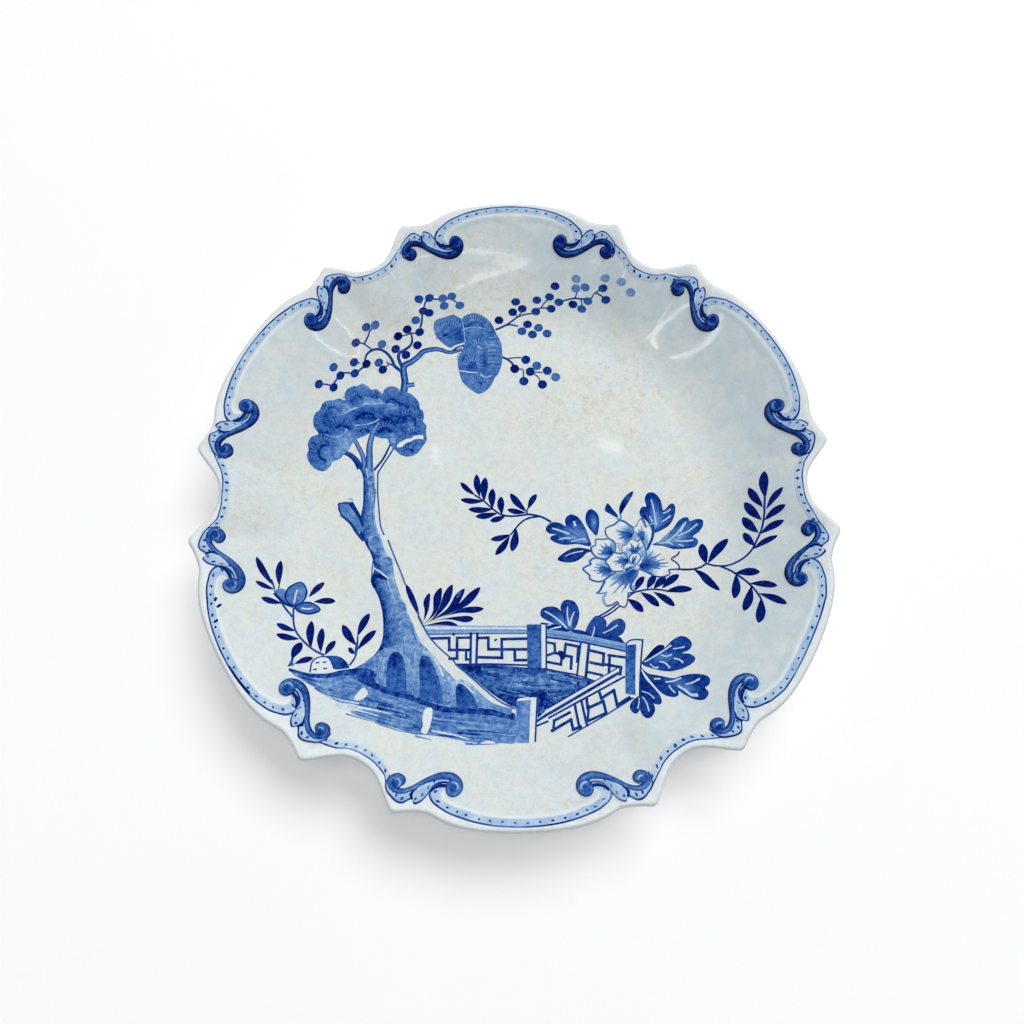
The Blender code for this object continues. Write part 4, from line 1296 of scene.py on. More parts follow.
bank.streaks(
    ((-54, -69.6), (-40, -72.4), (-28, -76), (-2, -79)),
    ((-58, -75.4), (-42, -80.6), (-28, -83.6), (-2, -86)), 22, (0.4, 0.9), 0.8, 2, 6, 0.7)
bank.streaks(
    ((-60, -75.4), (-48, -79), (-36, -83), (-20, -85.6), (-4, -86.4)),
    ((-58, -76), (-46, -80), (-34, -84), (-18, -87.4), (-6, -87)), 5, (0.4, 0.66), 0.6, 2, 7, 0.5)
# The roots: a pale foot to the trunk, dark hollows in it and a pale line down each root.
bank.patch(
    ((-50, -54.5), (-42, -52), (-35, -52), (-30.5, -56.5), (-26, -61.5), (-20, -67), (-12, -72.5),
     (-2, -76.8), (-10, -75.4), (-20, -74.9), (-27, -74.1), (-34, -71.8), (-40, -69.6), (-46.5, -67.4),
     (-50.5, -65), (-51, -60)),
    dabbed(0.46, (-24, -65, 6, 2, -0.1), (-37.5, -60, 1, 6, 0.05), (-49, -59, 1.5, 3, 0.16)), 1, 0.8)
bank.streaks(
    ((-50, -55), (-49.6, -60), (-48.6, -66)), ((-47.6, -56), (-47.8, -60), (-47, -66.6)), 4, (0.2, 0.6),
    0.7, 2, 8)
bank.streaks(
    ((-40.6, -56), (-39.6, -60), (-39.2, -68)), ((-35.8, -56), (-36, -62), (-35.4, -70.6)), 8, (0.2, 0.66),
    0.7, 2, 9)
for knots in (
    ((-43.8, -54.6), (-45.8, -56), (-46.8, -59), (-46.8, -63), (-46.3, -67.2), (-43, -68.5), (-39.8, -69.5),
     (-39.9, -65), (-40.4, -60), (-41.5, -56)),
    ((-34, -56), (-35.2, -57.5), (-35.4, -60), (-35.2, -66), (-34.8, -71.2), (-31, -72.4), (-27, -73),
     (-27.3, -69), (-28.3, -65), (-30, -60.5), (-31.8, -57.3)),
    ((-21, -66.2), (-22.3, -67.2), (-22.6, -69), (-22.3, -72), (-21.8, -74.4), (-18.5, -74.8), (-15, -75),
     (-15.3, -72.8), (-16.8, -70), (-18.8, -67.5)),
):
    top = knots[0]
    bank.patch(knots, dabbed(0.74, (top[0] - 1, top[1] - 3, 2.5, 3, 0.14)), 2, 0.6)
for knots, width, end, tone in (
    (((-42.4, -54.4), (-39.9, -57.6), (-38.9, -62), (-38.7, -69.6)), 0.9, 1.7, 0.3),
    (((-36.8, -54.6), (-36.9, -60), (-36.5, -66), (-36.1, -70.9)), 0.8, 1.4, 0.3),
    (((-34.4, -54.6), (-31.4, -56), (-28.6, -60.4), (-26.6, -66), (-25.4, -73.4)), 0.9, 2.8, 0.24),
    (((-22, -65.6), (-20.2, -65.4), (-17.2, -67.2), (-13.8, -70.8), (-9.4, -74.2), (-3, -76.4)), 0.8, 2.2,
     0.26),
    (((-47.7, -56.6), (-48.4, -61), (-48, -66.6)), 0.7, 1.6, 0.28),
    (((-23.4, -66), (-23.9, -70), (-23.6, -74.4)), 0.8, 1.6, 0.26),
    (((-30.8, -56.2), (-28, -61), (-26.2, -66), (-25.2, -72.6)), 0.3, 1, 0.1),
    (((-19.6, -65.6), (-16.6, -67.6), (-13, -71), (-9, -73.6)), 0.3, 0.8, 0.12),
    (((-62, -72.4), (-57, -73.4), (-50, -74.6), (-44, -76.2)), 1.3, 0.3, 0.14),
    (((-61, -73.6), (-54, -75), (-48, -76.8)), 0.7, 0.2, 0.12),
    (((-58, -74.6), (-52, -76.4), (-46, -78.2)), 0.2, 0.4, 0.25),
    (((-30.5, -82), (-24, -83.2), (-18, -85)), 0.6, 0.4, 0.12),
    (((-26, -84.2), (-20, -85.6), (-15, -86.4)), 0.4, 0.2, 0.1),
    (((-66, -69.6), (-60, -71.4), (-55, -72.4)), 0.3, 0.7, 0.16),
):
    bank.stroke(knots, width, end, tone, 3, 0.6, 4, 0.58 if tone > 0.22 else tone)
bank.stroke(
    ((-53, -65.7), (-50, -67.1), (-45, -69), (-38, -71), (-32, -73.1), (-27, -74.6), (-20, -75.6),
     (-12, -76.3)), 1.2, 1.7, 0.88, 4, 0.7)
# Two white gaps in the ground, then the stone with its shade and marks.
bank.patch(
    ((-56.9, -70.6), (-56, -69), (-54.5, -67.2), (-53, -68), (-52.6, -69.5), (-54, -71), (-56, -71.4)), 0,
    3, 0.1)
bank.patch(
    ((-33.8, -78), (-33.2, -75), (-31.5, -74.2), (-30.5, -75), (-30.6, -78), (-31.4, -81.5), (-32.7, -83),
     (-34, -81.9), (-33.4, -80)), 0, 3, 0.1)
STONE = (
    (-71.7, -61.8), (-71.6, -58.5), (-70.5, -57), (-68.7, -56.3), (-66.7, -56.6), (-65.5, -58),
    (-64.4, -60.4),
)
bank.patch(
    ((-68.2, -56.2), (-64, -56), (-61.5, -57.2), (-59.4, -59.9), (-61, -60.5), (-64.6, -60.6),
     (-66.2, -58)),
    dabbed(0.78, (-61.5, -58.6, 1.5, 1.5, 0.15)), 1, 0.4)
bank.patch(STONE + ((-67.5, -62),), 0, 2, 0.1)
bank.stroke(STONE, 0.5, 0.5, 0.84, 3)
for x, y in ((-69.8, -58.5), (-67.6, -58.3), (-70.3, -60.8), (-67.2, -60.5)):
    bank.stroke(((x - 0.6, y), (x + 0.6, y + 0.1)), 0.5, 0.5, 0.9, 3)
bank.fire("printed_bank", print_ink)

# The shrub: two printed sprigs on the bank, one of them with a pair of fruits. The leaves
# are solid and in the deepest blue, and each fruit has a white streak.
shrub = Transfer(1.4)
for stem, width in (
    (((-68, -55.8), (-71.5, -54), (-75, -51), (-77.8, -47.5), (-79, -43.8), (-79.5, -38.8)), 0.6),
    (((-79.2, -42.6), (-82, -39.3), (-84.6, -35.4), (-86, -33)), 0.6), (((-86, -32.5), (-87.3, -29)), 0.5),
    (((-84.9, -33), (-84.7, -31)), 0.4), (((-78.5, -59.8), (-77.8, -58), (-77.7, -56.5)), 0.7),
    (((-59.4, -59.3), (-57.9, -56.5), (-57.4, -53), (-57.5, -49)), 0.6), (((-58, -55), (-57.6, -51)), 0.6),
):
    shrub.stroke(stem, width * 1.15, width, 0.84)
shrub.leaves(
    ((-92.5, -21.2, -86.4, -31.3, 2.1), (-85, -21.9, -84.7, -31.2, 2.2), (-91.9, -30, -86, -32.7, 1.7),
     (-89.6, -35.8, -83.2, -37.6, 2.1), (-70.2, -29.3, -75, -34.9, 2.2), (-65.9, -36.2, -73.2, -36.6, 2.4),
     (-84, -44.9, -77.9, -47.4, 2), (-83.6, -48.7, -76.4, -50.2, 2.2), (-73.3, -43.6, -72.5, -53.2, 2.6),
     (-69.6, -46.1, -69.2, -54.7, 2.4), (-64.9, -50.6, -67.8, -55.7, 2.2), (-75.6, -51.4, -77.9, -57.2, 3),
     (-71.4, -56.8, -76.9, -58.9, 2.1), (-53.6, -40.8, -57.6, -49, 2.7), (-62.9, -44.8, -57.8, -52.2, 2.8),
     (-51.1, -46.9, -57.3, -53.8, 2.5), (-60.2, -53, -58.1, -55.4, 1.6)))
shrub.disc(-77.7, -58.9, 0.8, 0.8)
shrub.patch(
    ((-86, -33.6), (-84.6, -32.2), (-82.4, -32.8), (-81, -35), (-80.2, -38.4), (-82, -37.6),
     (-84.4, -35.6)),
    dabbed(0.62, (-83.2, -34.2, 1.3, 1.2, -0.12)), 1)
shrub.stroke(((-86, -34), (-84.5, -35.6), (-82, -37.8), (-79.6, -38.7)), 0.9, 0.7, 0.92, 2)
FRUIT = (
    (-79.6, -38.4), (-81.6, -37), (-82.5, -34.4), (-81.4, -31.4), (-78, -29.5), (-76, -32), (-75.9, -34.6),
    (-77.2, -37.2),
)
shrub.patch(FRUIT, dabbed(0.68, (-77.6, -33.4, 1.2, 2.2, -0.14), (-80.8, -33.6, 0.9, 2, -0.08)), 2)
shrub.stroke(FRUIT + FRUIT[:1], 0.5, 0.5, 0.92, 3)
shrub.stroke(((-79.5, -37.3), (-79.3, -34.6), (-78.9, -32.4)), 0.5, 0.5, 0.1, 3, 0.1)
SECOND_FRUIT = ((-79.2, -38.7), (-77, -37.2), (-74, -37), (-70.9, -39.4), (-74, -41), (-77.5, -40.4))
shrub.patch(SECOND_FRUIT, 0.7, 2)
shrub.stroke(SECOND_FRUIT + SECOND_FRUIT[:1], 0.6, 0.6, 0.92, 3)
shrub.stroke(((-77, -39), (-75.2, -39.3), (-73.4, -38.9)), 0.6, 0.5, 0.1, 3, 0.1)
shrub.fire("printed_shrub", print_ink)

# The fern: a fan of printed fronds beside the trunk, all from one root. They are solid,
# pointed and in the deepest blue.
fern = Transfer(1.4)
for frond, width in (
    (((-35.4, -43.2), (-36.8, -39.2), (-40.6, -30.4)), 2.2),
    (((-34.5, -44.8), (-33.6, -42.6), (-33, -39.6), (-33, -37), (-32, -33.8)), 2.3),
    (((-34, -44.9), (-31.8, -43), (-30, -40.5), (-29.3, -37.5), (-28.9, -34.8), (-27.7, -31.9)), 3),
    (((-33, -44.6), (-30.5, -43), (-28, -40), (-26.3, -37), (-25.1, -34), (-23.7, -30.8)), 3.1),
    (((-31.8, -44.2), (-29.4, -42.8), (-25.5, -40.5), (-23, -38), (-21.3, -35.2), (-19.2, -32.4)), 2.8),
    (((-28.6, -42.6), (-25.4, -41.4), (-22, -39.5), (-19, -37.5), (-16.1, -34.7), (-13.5, -32)), 3),
    (((-28.6, -42.8), (-24, -41.5), (-20, -40.4), (-16, -40.2), (-12.3, -39.9)), 2.4),
    (((-30.4, -43.7), (-24, -43.2), (-19.5, -43.5), (-16, -43.4)), 2.4),
    (((-34.2, -45.5), (-32, -45.3), (-28.5, -44.9), (-25, -44.9), (-21.8, -45.7)), 1.5),
):
    fern.blade(frond, width * 0.98, swell=2.1)
fern.patch(((-20.4, -33.4), (-21.6, -34.2), (-22.2, -35.8), (-21.2, -35.4)), 0.72, 2, 0.3)
fern.stroke(((-36, -42), (-34.6, -45), (-33.6, -46.6)), 0.7, 0.7, 0.9)
fern.fire("printed_fern", print_ink)

# The fence: a printed garden fence with a Chinese fret in its panels, round a pond. The
# posts have a blue face and a white one, and the top rails a pale streak.
fence = Transfer(1.4)
# The pond inside the fence, in dark streaks.
fence.patch(
    ((-22.4, -59.8), (-12, -59.9), (-5, -60.4), (3, -61.2), (9.5, -61.5), (14, -62.7), (22, -65.2),
     (26.8, -66.6), (17, -71.4), (9.6, -75.4), (6, -78.6), (5.8, -72), (-0.8, -72), (-1.3, -75),
     (-6, -72.6), (-11.5, -68.6), (-17, -63.8)),
    dabbed(0.84, (0, -67, 8, 1.7, -0.2), (-8, -64, 6, 1.2, -0.12), (8, -65.5, 6, 1.5, -0.22),
           (19, -68, 4, 1.6, -0.14), (-14, -61.5, 5, 1.2, 0.14), (2, -71, 5, 1.4, 0.14)), 0, 1, 2)
fence.streaks(
    ((-18, -61), (-4, -61.6), (10, -62.8), (24, -66.6)), ((-8, -70), (0, -71.6), (8, -73), (17, -70.8)), 24,
    (0.4, 0.95), 1, 1, 11, 0.55)
fence.disc(20.8, -67.1, 0.55, 1, 2, 0.1)
# The two top rails.
fence.wash(
    ((-34.3, -45.4), (-20, -45.9), (3.4, -46.6)), ((-32.4, -49), (-20, -49), (3.4, -49.3)),
    (0.8, 0.15, 0.1, 0.14, 0.5, 0.42, 0.36, 0.5, 0.92), 1, 0.35, 16)
fence.wash(
    ((10.3, -47.6), (17, -48.6), (24, -49.9), (38.8, -53.4)),
    ((10.3, -51), (17, -51.9), (24, -53.2), (38.8, -56.6)),
    (0.9, 0.3, 0.5, 0.36, 0.6, 0.5, 0.45, 0.9, 0.86), 1, 0.35, 16)
# The fret, panel by panel.
for line, width in (
    (((-31.2, -50.2), (-24.8, -50.2), (-24.8, -54.4), (-17.3, -54.6)), 0.9),
    (((-22, -50.2), (-22, -57.5), (-24.6, -57.5)), 0.9),
    (((-18.8, -54.8), (-18.8, -57.9), (-17.2, -57.9)), 0.8), (((-22, -50.2), (-17.2, -50.2)), 0.8),
    (((-17, -48.8), (-17.3, -59.6)), 0.8), (((-14.7, -48.8), (-15.2, -59.6)), 0.8),
    (((-14.6, -50.4), (-10.8, -50.4), (-10.8, -54.5), (3, -54.8)), 0.9),
    (((-14.8, -57.2), (-6, -57.6), (-6, -51), (3, -51)), 0.9),
    (((-1.4, -55), (-1.4, -58.5), (3, -58.6)), 0.9), (((-22.4, -59.6), (-10, -59.7), (3, -60.4)), 0.6),
    (((10.4, -52.5), (13, -53), (13, -56.2), (10.4, -57)), 0.8),
    (((16.4, -56.5), (17, -53.2), (21.5, -54.2), (20.9, -59.4)), 0.9),
    (((13, -56.2), (15.5, -57), (18.9, -57.8), (18.5, -61.8)), 0.9),
    (((10.2, -59.4), (15, -60.4), (15.4, -57.2)), 0.8), (((22.4, -53), (20.5, -64.6)), 0.6),
    (((25.3, -54), (23.6, -65.2)), 0.9), (((25.5, -55.6), (30.5, -56.9), (30, -60.9), (25.6, -59.9)), 0.9),
    (((32.2, -57.5), (38.2, -58.4)), 0.8), (((32.6, -57.6), (32, -63.4)), 0.9),
    (((30.2, -60.6), (36.4, -61.8), (35.9, -64.2)), 0.9), (((24.4, -63.2), (29.4, -64.4)), 0.8),
    (((10, -62), (20, -64), (26.4, -66.3)), 0.5), (((10.4, -77), (35, -64)), 0.9),
    (((9.8, -75.4), (34.8, -62.2)), 0.35), (((10, -78.6), (37.2, -65.2)), 0.6),
    (((5.4, -79.8), (10.2, -77)), 0.8), (((5, -81.4), (9.4, -79.8)), 0.6),
    (((17.2, -77), (11.7, -79.6), (11.2, -82.6)), 0.8),
    (((10.8, -82.9), (17.5, -79.4), (18, -82.7), (20.6, -81.8)), 0.9),
    (((19.2, -74.2), (20.2, -82.4)), 0.8), (((21.6, -73), (22.8, -81.4)), 0.8),
    (((23.5, -72.4), (23.6, -75.7), (29.2, -73.4), (29.8, -77.4)), 0.9),
    (((24, -75), (23.2, -80), (29.6, -77.5)), 0.8),
    (((28.2, -70.6), (28.6, -72.4), (33.2, -69.8), (33.8, -74.9), (38.2, -72.4)), 0.9),
    (((16.2, -84.9), (30, -77.9), (39.4, -72.6)), 0.4),
):
    fence.fret(line, width)
fence.patch(((14.2, -55.6), (15.8, -55.8), (17, -57.2), (15.8, -58.8), (14.6, -57.8)), 0.96, 2, 0.2)
fence.stroke(((-8.6, -51.5), (-7.6, -50.9)), 0.8, 0.5, 0.95)
fence.disc(-23.2, -48.9, 0.5, 1, 2)
# The posts, each with a blue face, a white one and a dark edge.
for blue, white, edge, tone in (
    (((3.2, -45.9), (8.5, -46), (8, -61.4), (3, -61.2)),
     ((8.5, -46), (10.4, -46.3), (9.8, -61.4), (8, -61.4)), ((10.2, -46.2), (9.7, -61.4)),
     dabbed(0.74, (6, -56, 1.2, 3, -0.12), (4, -48, 1, 2, 0.06))),
    (((38.6, -54.2), (42.4, -53.8), (40.4, -71.6), (37.1, -71)),
     ((42.4, -53.4), (44.3, -53), (41.5, -72), (40.3, -71.8)), ((44.8, -52.3), (41.7, -71.9)),
     dabbed(0.72, (40.5, -56, 1.2, 2.5, 0.12), (38.9, -66, 0.8, 3, -0.1))),
    (((-1.3, -72.6), (3.8, -72.2), (2.6, -86.7), (-1.6, -86.6)),
     ((3.8, -72.2), (6.2, -71.7), (4.8, -86.2), (2.8, -86.5)), ((6.2, -71.8), (4.8, -86.1)),
     dabbed(0.5, (-0.5, -75, 0.8, 4, 0.14), (2, -84, 1.5, 2, 0.08))),
):
    fence.patch(white, 0, 3, 0.1, 1)
    fence.patch(blue, tone, 3, 0.6, 1)
    fence.fret(edge, 0.55, 0.86, 4)
fence.stroke(((38.5, -54.4), (39.4, -52.9), (41, -52.2), (43.8, -52.2), (44.9, -52.6)), 0.5, 0.5, 0.84, 4)
fence.patch(((39.6, -54), (41, -52.7), (44.2, -52.7), (42.6, -53.8)), 0.1, 3, 0.1, 1)
fence.patch(((-1.3, -72.7), (0.2, -71.7), (6.2, -71.5), (3.8, -72.4)), 0.02, 4, 0.1, 1)
fence.fire("printed_fence", print_ink)

# The garden leaves: printed lobed leaves behind the fence and beside its corner post, in
# deep blue with pale veins.
foliage = Transfer(0.9)
for outline, tone in (
    (((17, -48.2), (12.5, -45.6), (8.6, -43.4), (8.4, -41), (10, -39.8), (13, -39.6), (15.4, -40.9),
      (17.4, -44.4)),
     dabbed(0.88, (15.5, -45, 2, 1.6, -0.3))),
    (((18.4, -48.6), (16.6, -44.4), (15.6, -40.4), (16.4, -38), (18.2, -37.2), (20.8, -38), (22.2, -40.6),
      (22.3, -43.6), (20.8, -47.4)),
     dabbed(0.86, (18.6, -45.6, 1, 2, -0.26))),
    (((8.2, -45.4), (12.5, -46), (16, -46.6), (18.5, -48.6), (16, -49.2), (9.8, -48.2)), 0.9),
    (((24, -50.8), (25, -47.2), (26.6, -44.8), (28.6, -43.2), (31, -44), (32.2, -46), (31.2, -49.2),
      (29, -52)),
     dabbed(0.82, (27.5, -46, 1.2, 1.5, -0.06))),
    (((30.4, -50.4), (32, -47.4), (34.4, -45.2), (37, -44.4), (38.8, -45.8), (38.8, -48), (37.4, -50.2),
      (34, -51.2)),
     dabbed(0.86, (35, -45.6, 2, 0.8, -0.1))),
    (((18.6, -48.6), (22, -48.2), (26, -49.6), (31, -50.6), (36, -50.8), (37.8, -52.6), (38.4, -54.2),
      (30, -52.2)), 0.9),
    (((43.6, -60.8), (46.4, -57.6), (48.8, -55.2), (50.6, -54.2), (52.3, -54.6), (51.6, -56), (49, -57.8)),
     0.97),
    (((43.8, -60.8), (49, -57.4), (53, -54.8), (55.4, -52.6), (58.6, -51.3), (61, -52.4), (61.8, -54.4),
      (60.6, -56.4), (58, -57.5), (60.4, -57.8), (62.1, -59.2), (61.2, -61), (57.6, -62.9), (53, -63.8),
      (48.8, -63)),
     dabbed(0.86, (51.5, -58.6, 2.4, 1.2, -0.26), (47, -61, 2, 1, -0.04))),
    (((43.4, -62.2), (45.6, -64.2), (48, -64.8), (50.6, -65.4), (54, -66.2), (57, -65.3), (61, -64.9),
      (64.4, -65.6), (65.5, -67.2), (64.6, -69), (63.4, -69.8), (64.2, -71.6), (62.4, -73.8), (59.4, -73.6),
      (56.4, -71.8), (54.8, -70.6), (54.6, -72), (52.6, -72.7), (49.6, -71.6), (47.2, -68.6)),
     dabbed(0.88, (54.5, -67.6, 2, 1, -0.22), (58, -69.6, 1.5, 1, -0.34))),
    (((42.9, -62.8), (44.6, -66.2), (46.8, -69.2), (48.6, -72.4), (48.4, -74.6), (46.6, -75), (44.2, -73.4),
      (42.4, -70.6)), 0.9),
    (((42.6, -62.6), (43.8, -68.6), (44.4, -71.8), (42, -72.2), (41.8, -69)), 0.92),
    (((42, -71.4), (41.2, -74.6), (41.2, -77.4), (42.4, -79.3), (44.2, -79.2), (45.8, -77.2), (45.9, -75),
      (44.4, -72.4)),
     dabbed(0.9, (43.4, -75, 0.8, 1.4, -0.1))),
    (((41.6, -72), (39.2, -73.4), (37.9, -75.4), (38.4, -77.2), (39.6, -77.9), (40.9, -76.8),
      (41.4, -74.6)), 0.9),
):
    foliage.patch(outline, tone, 0, 0.35)
for vein, width in (
    (((9.8, -41.2), (13, -43.2), (15.8, -45.6), (17.6, -47.6)), 0.7),
    (((18.2, -39.8), (18, -43), (18.6, -46.8)), 0.6), (((20.6, -41.6), (19.4, -44.2), (18.8, -46.8)), 0.6),
    (((9.4, -46.4), (12, -46.2)), 0.5), (((11.4, -47.8), (15.6, -46.9)), 0.6),
    (((30.6, -49.6), (33.4, -48.4), (36, -46.8)), 0.5), (((27.6, -47.2), (27.2, -49.4), (26.4, -51)), 0.5),
    (((44.8, -60.2), (50, -57.4), (54.8, -54.5)), 0.6),
    (((55.2, -55.8), (57.4, -55.6), (59.3, -55.2)), 0.5),
    (((50.8, -57.8), (52.6, -58.4), (54.6, -57.8)), 0.5), (((55, -59.2), (56.8, -59.8), (57.9, -61)), 0.7),
    (((50, -60.2), (52, -60.8), (53.2, -62.6)), 0.7), (((46.6, -60.8), (48, -62.2), (49.4, -62.2)), 0.6),
    (((47.4, -66.2), (49.5, -66.2)), 0.6), (((51, -67.4), (53.6, -67.2), (56.4, -66.2)), 0.6),
    (((57.4, -68.4), (59.6, -68), (62.2, -66.7)), 0.6),
    (((54.8, -68.8), (57, -70.4), (58.6, -72), (60.8, -72.2)), 1.1),
    (((52, -68.6), (52.6, -70), (53.6, -71.3)), 0.6), (((42.6, -70.4), (44.8, -71.2), (46.4, -73)), 0.45),
    (((42.6, -72.2), (43.6, -74.4), (43.9, -77.2)), 0.5),
    (((41.4, -72.6), (41, -74.6), (40.4, -76.2)), 0.45),
):
    foliage.stroke(vein, width * 0.7, width, 0.16, 2, 0.3)
foliage.stroke(((36.6, -39), (33.4, -41.4), (29.4, -43.6)), 0.6, 0.7, 0.9)
foliage.stroke(((37.2, -40), (34.2, -42.2), (30.2, -44.2)), 0.5, 0.7, 0.9)
foliage.fire("printed_foliage", print_ink)

# The peony: the large printed flower, its white petals outlined and shaded from the heart,
# with seven lobed leaves round it and a sprig below.
PETAL_STRENGTH = 0.74
peony = Transfer(0.7)
# Petals, each as its outline, the soft tones spread over it, and a fan of fading lines.
for outline, tone, root, tips in (
    (((39, -7.5), (37.4, -9.4), (33.8, -10.6), (33.7, -13.2), (35.4, -15), (37.2, -16.6), (39.5, -17.2),
      (41.2, -16.9), (43.6, -15), (44.1, -12.8), (44.1, -10.8), (42.4, -9.2), (40.6, -8)),
     dabbed(0, (42.7, -12.7, 1.5, 1.7, 0.86), (41.2, -16, 0.9, 1, 0.7), (39.8, -12.6, 1.7, 1.8, 0.3),
            (43.4, -10, 0.8, 1, 0.3)),
     (43.6, -13.4), ((40.4, -10.6), (37.6, -11.6), (38.2, -13.2), (38.2, -14.8), (40.2, -16.8))),
    (((44.1, -10.8), (45.6, -9.6), (47.3, -6.9), (48.6, -9.2), (51.2, -9.6), (51.5, -12), (51, -14.6),
      (50, -16.8), (48.7, -19.2), (47.6, -17), (46.7, -15.1), (45.3, -16), (44.4, -15.4), (43.6, -14.9)),
     dabbed(0, (46.4, -13.8, 1.4, 1.1, 0.5), (48.4, -16.6, 0.9, 2.2, 0.66), (44.4, -14, 0.7, 0.8, 0.4)),
     (47.4, -15.4), ((44.6, -12), (46, -11.2), (47.2, -9.8), (48.2, -12))),
    (((39.5, -20.2), (39.4, -17.6), (41, -17.1), (42.4, -15.7), (43.6, -14.9), (44.8, -16), (46.7, -15.1),
      (47.7, -17), (48.2, -19.4), (48.2, -21.6), (46.6, -23.4), (45.8, -20.8), (44, -20.2), (42.4, -21),
      (41.6, -22.9), (40.6, -21.4)),
     dabbed(0.02, (40.9, -20.8, 0.8, 1.4, 0.56), (47.2, -21.2, 0.8, 1.8, 0.66),
            (44.2, -19.4, 1.6, 0.8, 0.36)),
     (44, -20.4), ((41, -18.4), (42.8, -16.6), (43.6, -17.4), (46, -16.6), (47.4, -17.6))),
    (((28.2, -17.6), (29.8, -15), (32, -14.9), (34.4, -14.7), (36.2, -15.4), (37, -17), (36.6, -20.2),
      (35.4, -20.9), (34, -21.9), (32.2, -22.4), (30.2, -21.9), (28.8, -20.7), (27.9, -19.2)),
     dabbed(0, (35, -20, 1.4, 1.1, 0.7), (36.4, -17.4, 0.7, 1.6, 0.6), (33, -21.2, 2, 0.8, 0.4),
            (33.2, -18.6, 1.4, 1.2, 0.2)),
     (35.6, -20.4), ((33, -16.2), (31.4, -17), (30.4, -18.8), (30, -20.4), (35.2, -16.4))),
    (((35.3, -21), (36.4, -20), (38.2, -20.4), (40, -20.2), (40.9, -21.6), (41.8, -22.8), (41.4, -24),
      (40, -24.9), (39.4, -26.9), (37, -27.2), (34.8, -26.6), (34.2, -25), (33, -23.6)),
     dabbed(0, (39.9, -22.7, 1.3, 0.9, 0.62), (39.2, -21.2, 1.2, 0.7, 0.2)), (41.4, -23),
     ((37.2, -21.6), (35.8, -23.4), (36.4, -24.4), (38.4, -25.6))),
    (((41.6, -22.9), (42.4, -21), (44, -20.2), (45.6, -20.6), (46.1, -22.2), (45, -24), (43.6, -24.8),
      (42.4, -24.2)),
     dabbed(0.06, (43.2, -22.4, 0.9, 1.2, 0.1), (45.2, -23.2, 0.5, 0.8, 0.2)), (43, -24.2),
     ((43.4, -21.4), (44.8, -21.2))),
    (((39.2, -26.2), (40, -24.9), (41.4, -24), (42.8, -24.6), (44.4, -24.4), (45.4, -25.4), (43.4, -26.4),
      (41, -27)),
     dabbed(0.05, (40.6, -26.4, 1, 0.5, 0.5), (43.6, -25.8, 1.2, 0.5, 0.3)), (40.2, -26.8),
     ((42.6, -25.2), (44.2, -25))),
    (((33.2, -22.9), (30.6, -22), (28.6, -22), (27, -23.3), (27.6, -24.1), (25.4, -25.2), (24.5, -26),
      (25.7, -27.3), (27, -28.6), (26.7, -29.6), (28.4, -30.5), (30.6, -30.8), (32.6, -30), (34.4, -28.7),
      (36.6, -27.4), (34.8, -26.6), (34, -25)),
     dabbed(0, (34.2, -26.3, 1.6, 1.4, 0.85), (31.8, -24.2, 1.6, 0.9, 0.4), (33.6, -28.4, 1.2, 0.8, 0.5)),
     (35, -26.6), ((29.4, -24.2), (28.8, -25.4), (28.2, -26.7), (29.4, -27.8), (31, -29))),
    (((37, -27.2), (34.4, -28.7), (32.4, -30.6), (31.2, -32.6), (29.2, -35), (32.6, -35.2), (31.5, -36.8),
      (31.7, -38.6), (32.6, -39.8), (34.6, -39.4), (36.4, -38.3), (37.1, -39.7), (39, -40.4), (40, -39),
      (40.6, -35.6), (43, -34.9), (41.7, -32.8), (42.4, -31.2), (44, -29), (45.2, -26), (42.6, -26),
      (39.8, -26.9)),
     dabbed(0, (42.4, -27.7, 2.4, 1.4, 0.92), (39, -29.8, 2.4, 1.5, 0.5), (36.6, -29, 1.6, 0.9, 0.4),
            (43.2, -30.6, 0.8, 2, 0.5)),
     (43.6, -26.8),
     ((34.6, -30.2), (34, -32.6), (35, -35.4), (36.6, -33.8), (38.2, -35), (39.6, -33.6), (41, -33.6),
      (42.4, -31))),
    (((48.6, -19.6), (50.6, -18.2), (54.8, -18), (58.6, -19.2), (60.8, -20), (59.8, -21.4), (57.5, -22.8),
      (59, -24), (60.1, -25.3), (60, -26.6), (58.3, -26.7), (56.2, -27), (56.6, -28.4), (54.5, -29.3),
      (53, -29.5), (51, -29.1), (49.4, -28.4), (46.8, -26.9), (45.2, -26), (46.6, -23.4), (48.2, -21.6)),
     dabbed(0, (46.6, -25, 2.2, 1.2, 0.74), (49, -21, 1.6, 1.4, 0.36), (50.6, -24, 2.6, 1.8, 0.24),
            (49.4, -27.6, 1.6, 0.8, 0.44)),
     (45.8, -25.3),
     ((50.8, -19.8), (53.6, -20.8), (55.2, -22.8), (56.2, -24.2), (55.8, -25.6), (53.4, -26.4),
      (50.6, -28.6))),
):
    peony.patch(outline, lambda x, y: PETAL_STRENGTH * tone(x, y), 0, 0.3, 2)
    for i, (x, y) in enumerate(tips):
        peony.stroke((root, (x, y)), 1.1, 0.4, 0.92, 1, 0.4, 4, 0.5 if i % 2 else 0.38)
        for share, reach in ((0.5, 0.72), (0.25, 0.56)):
            aim = (x + (tips[i - 1][0] - x) * share, y + (tips[i - 1][1] - y) * share)
            part = [a + (b - a) * reach for a, b in zip(root, aim)]
            peony.stroke((root, part), 0.7, 0.4, 0.99, 1, 0.4, 4, 0.66)
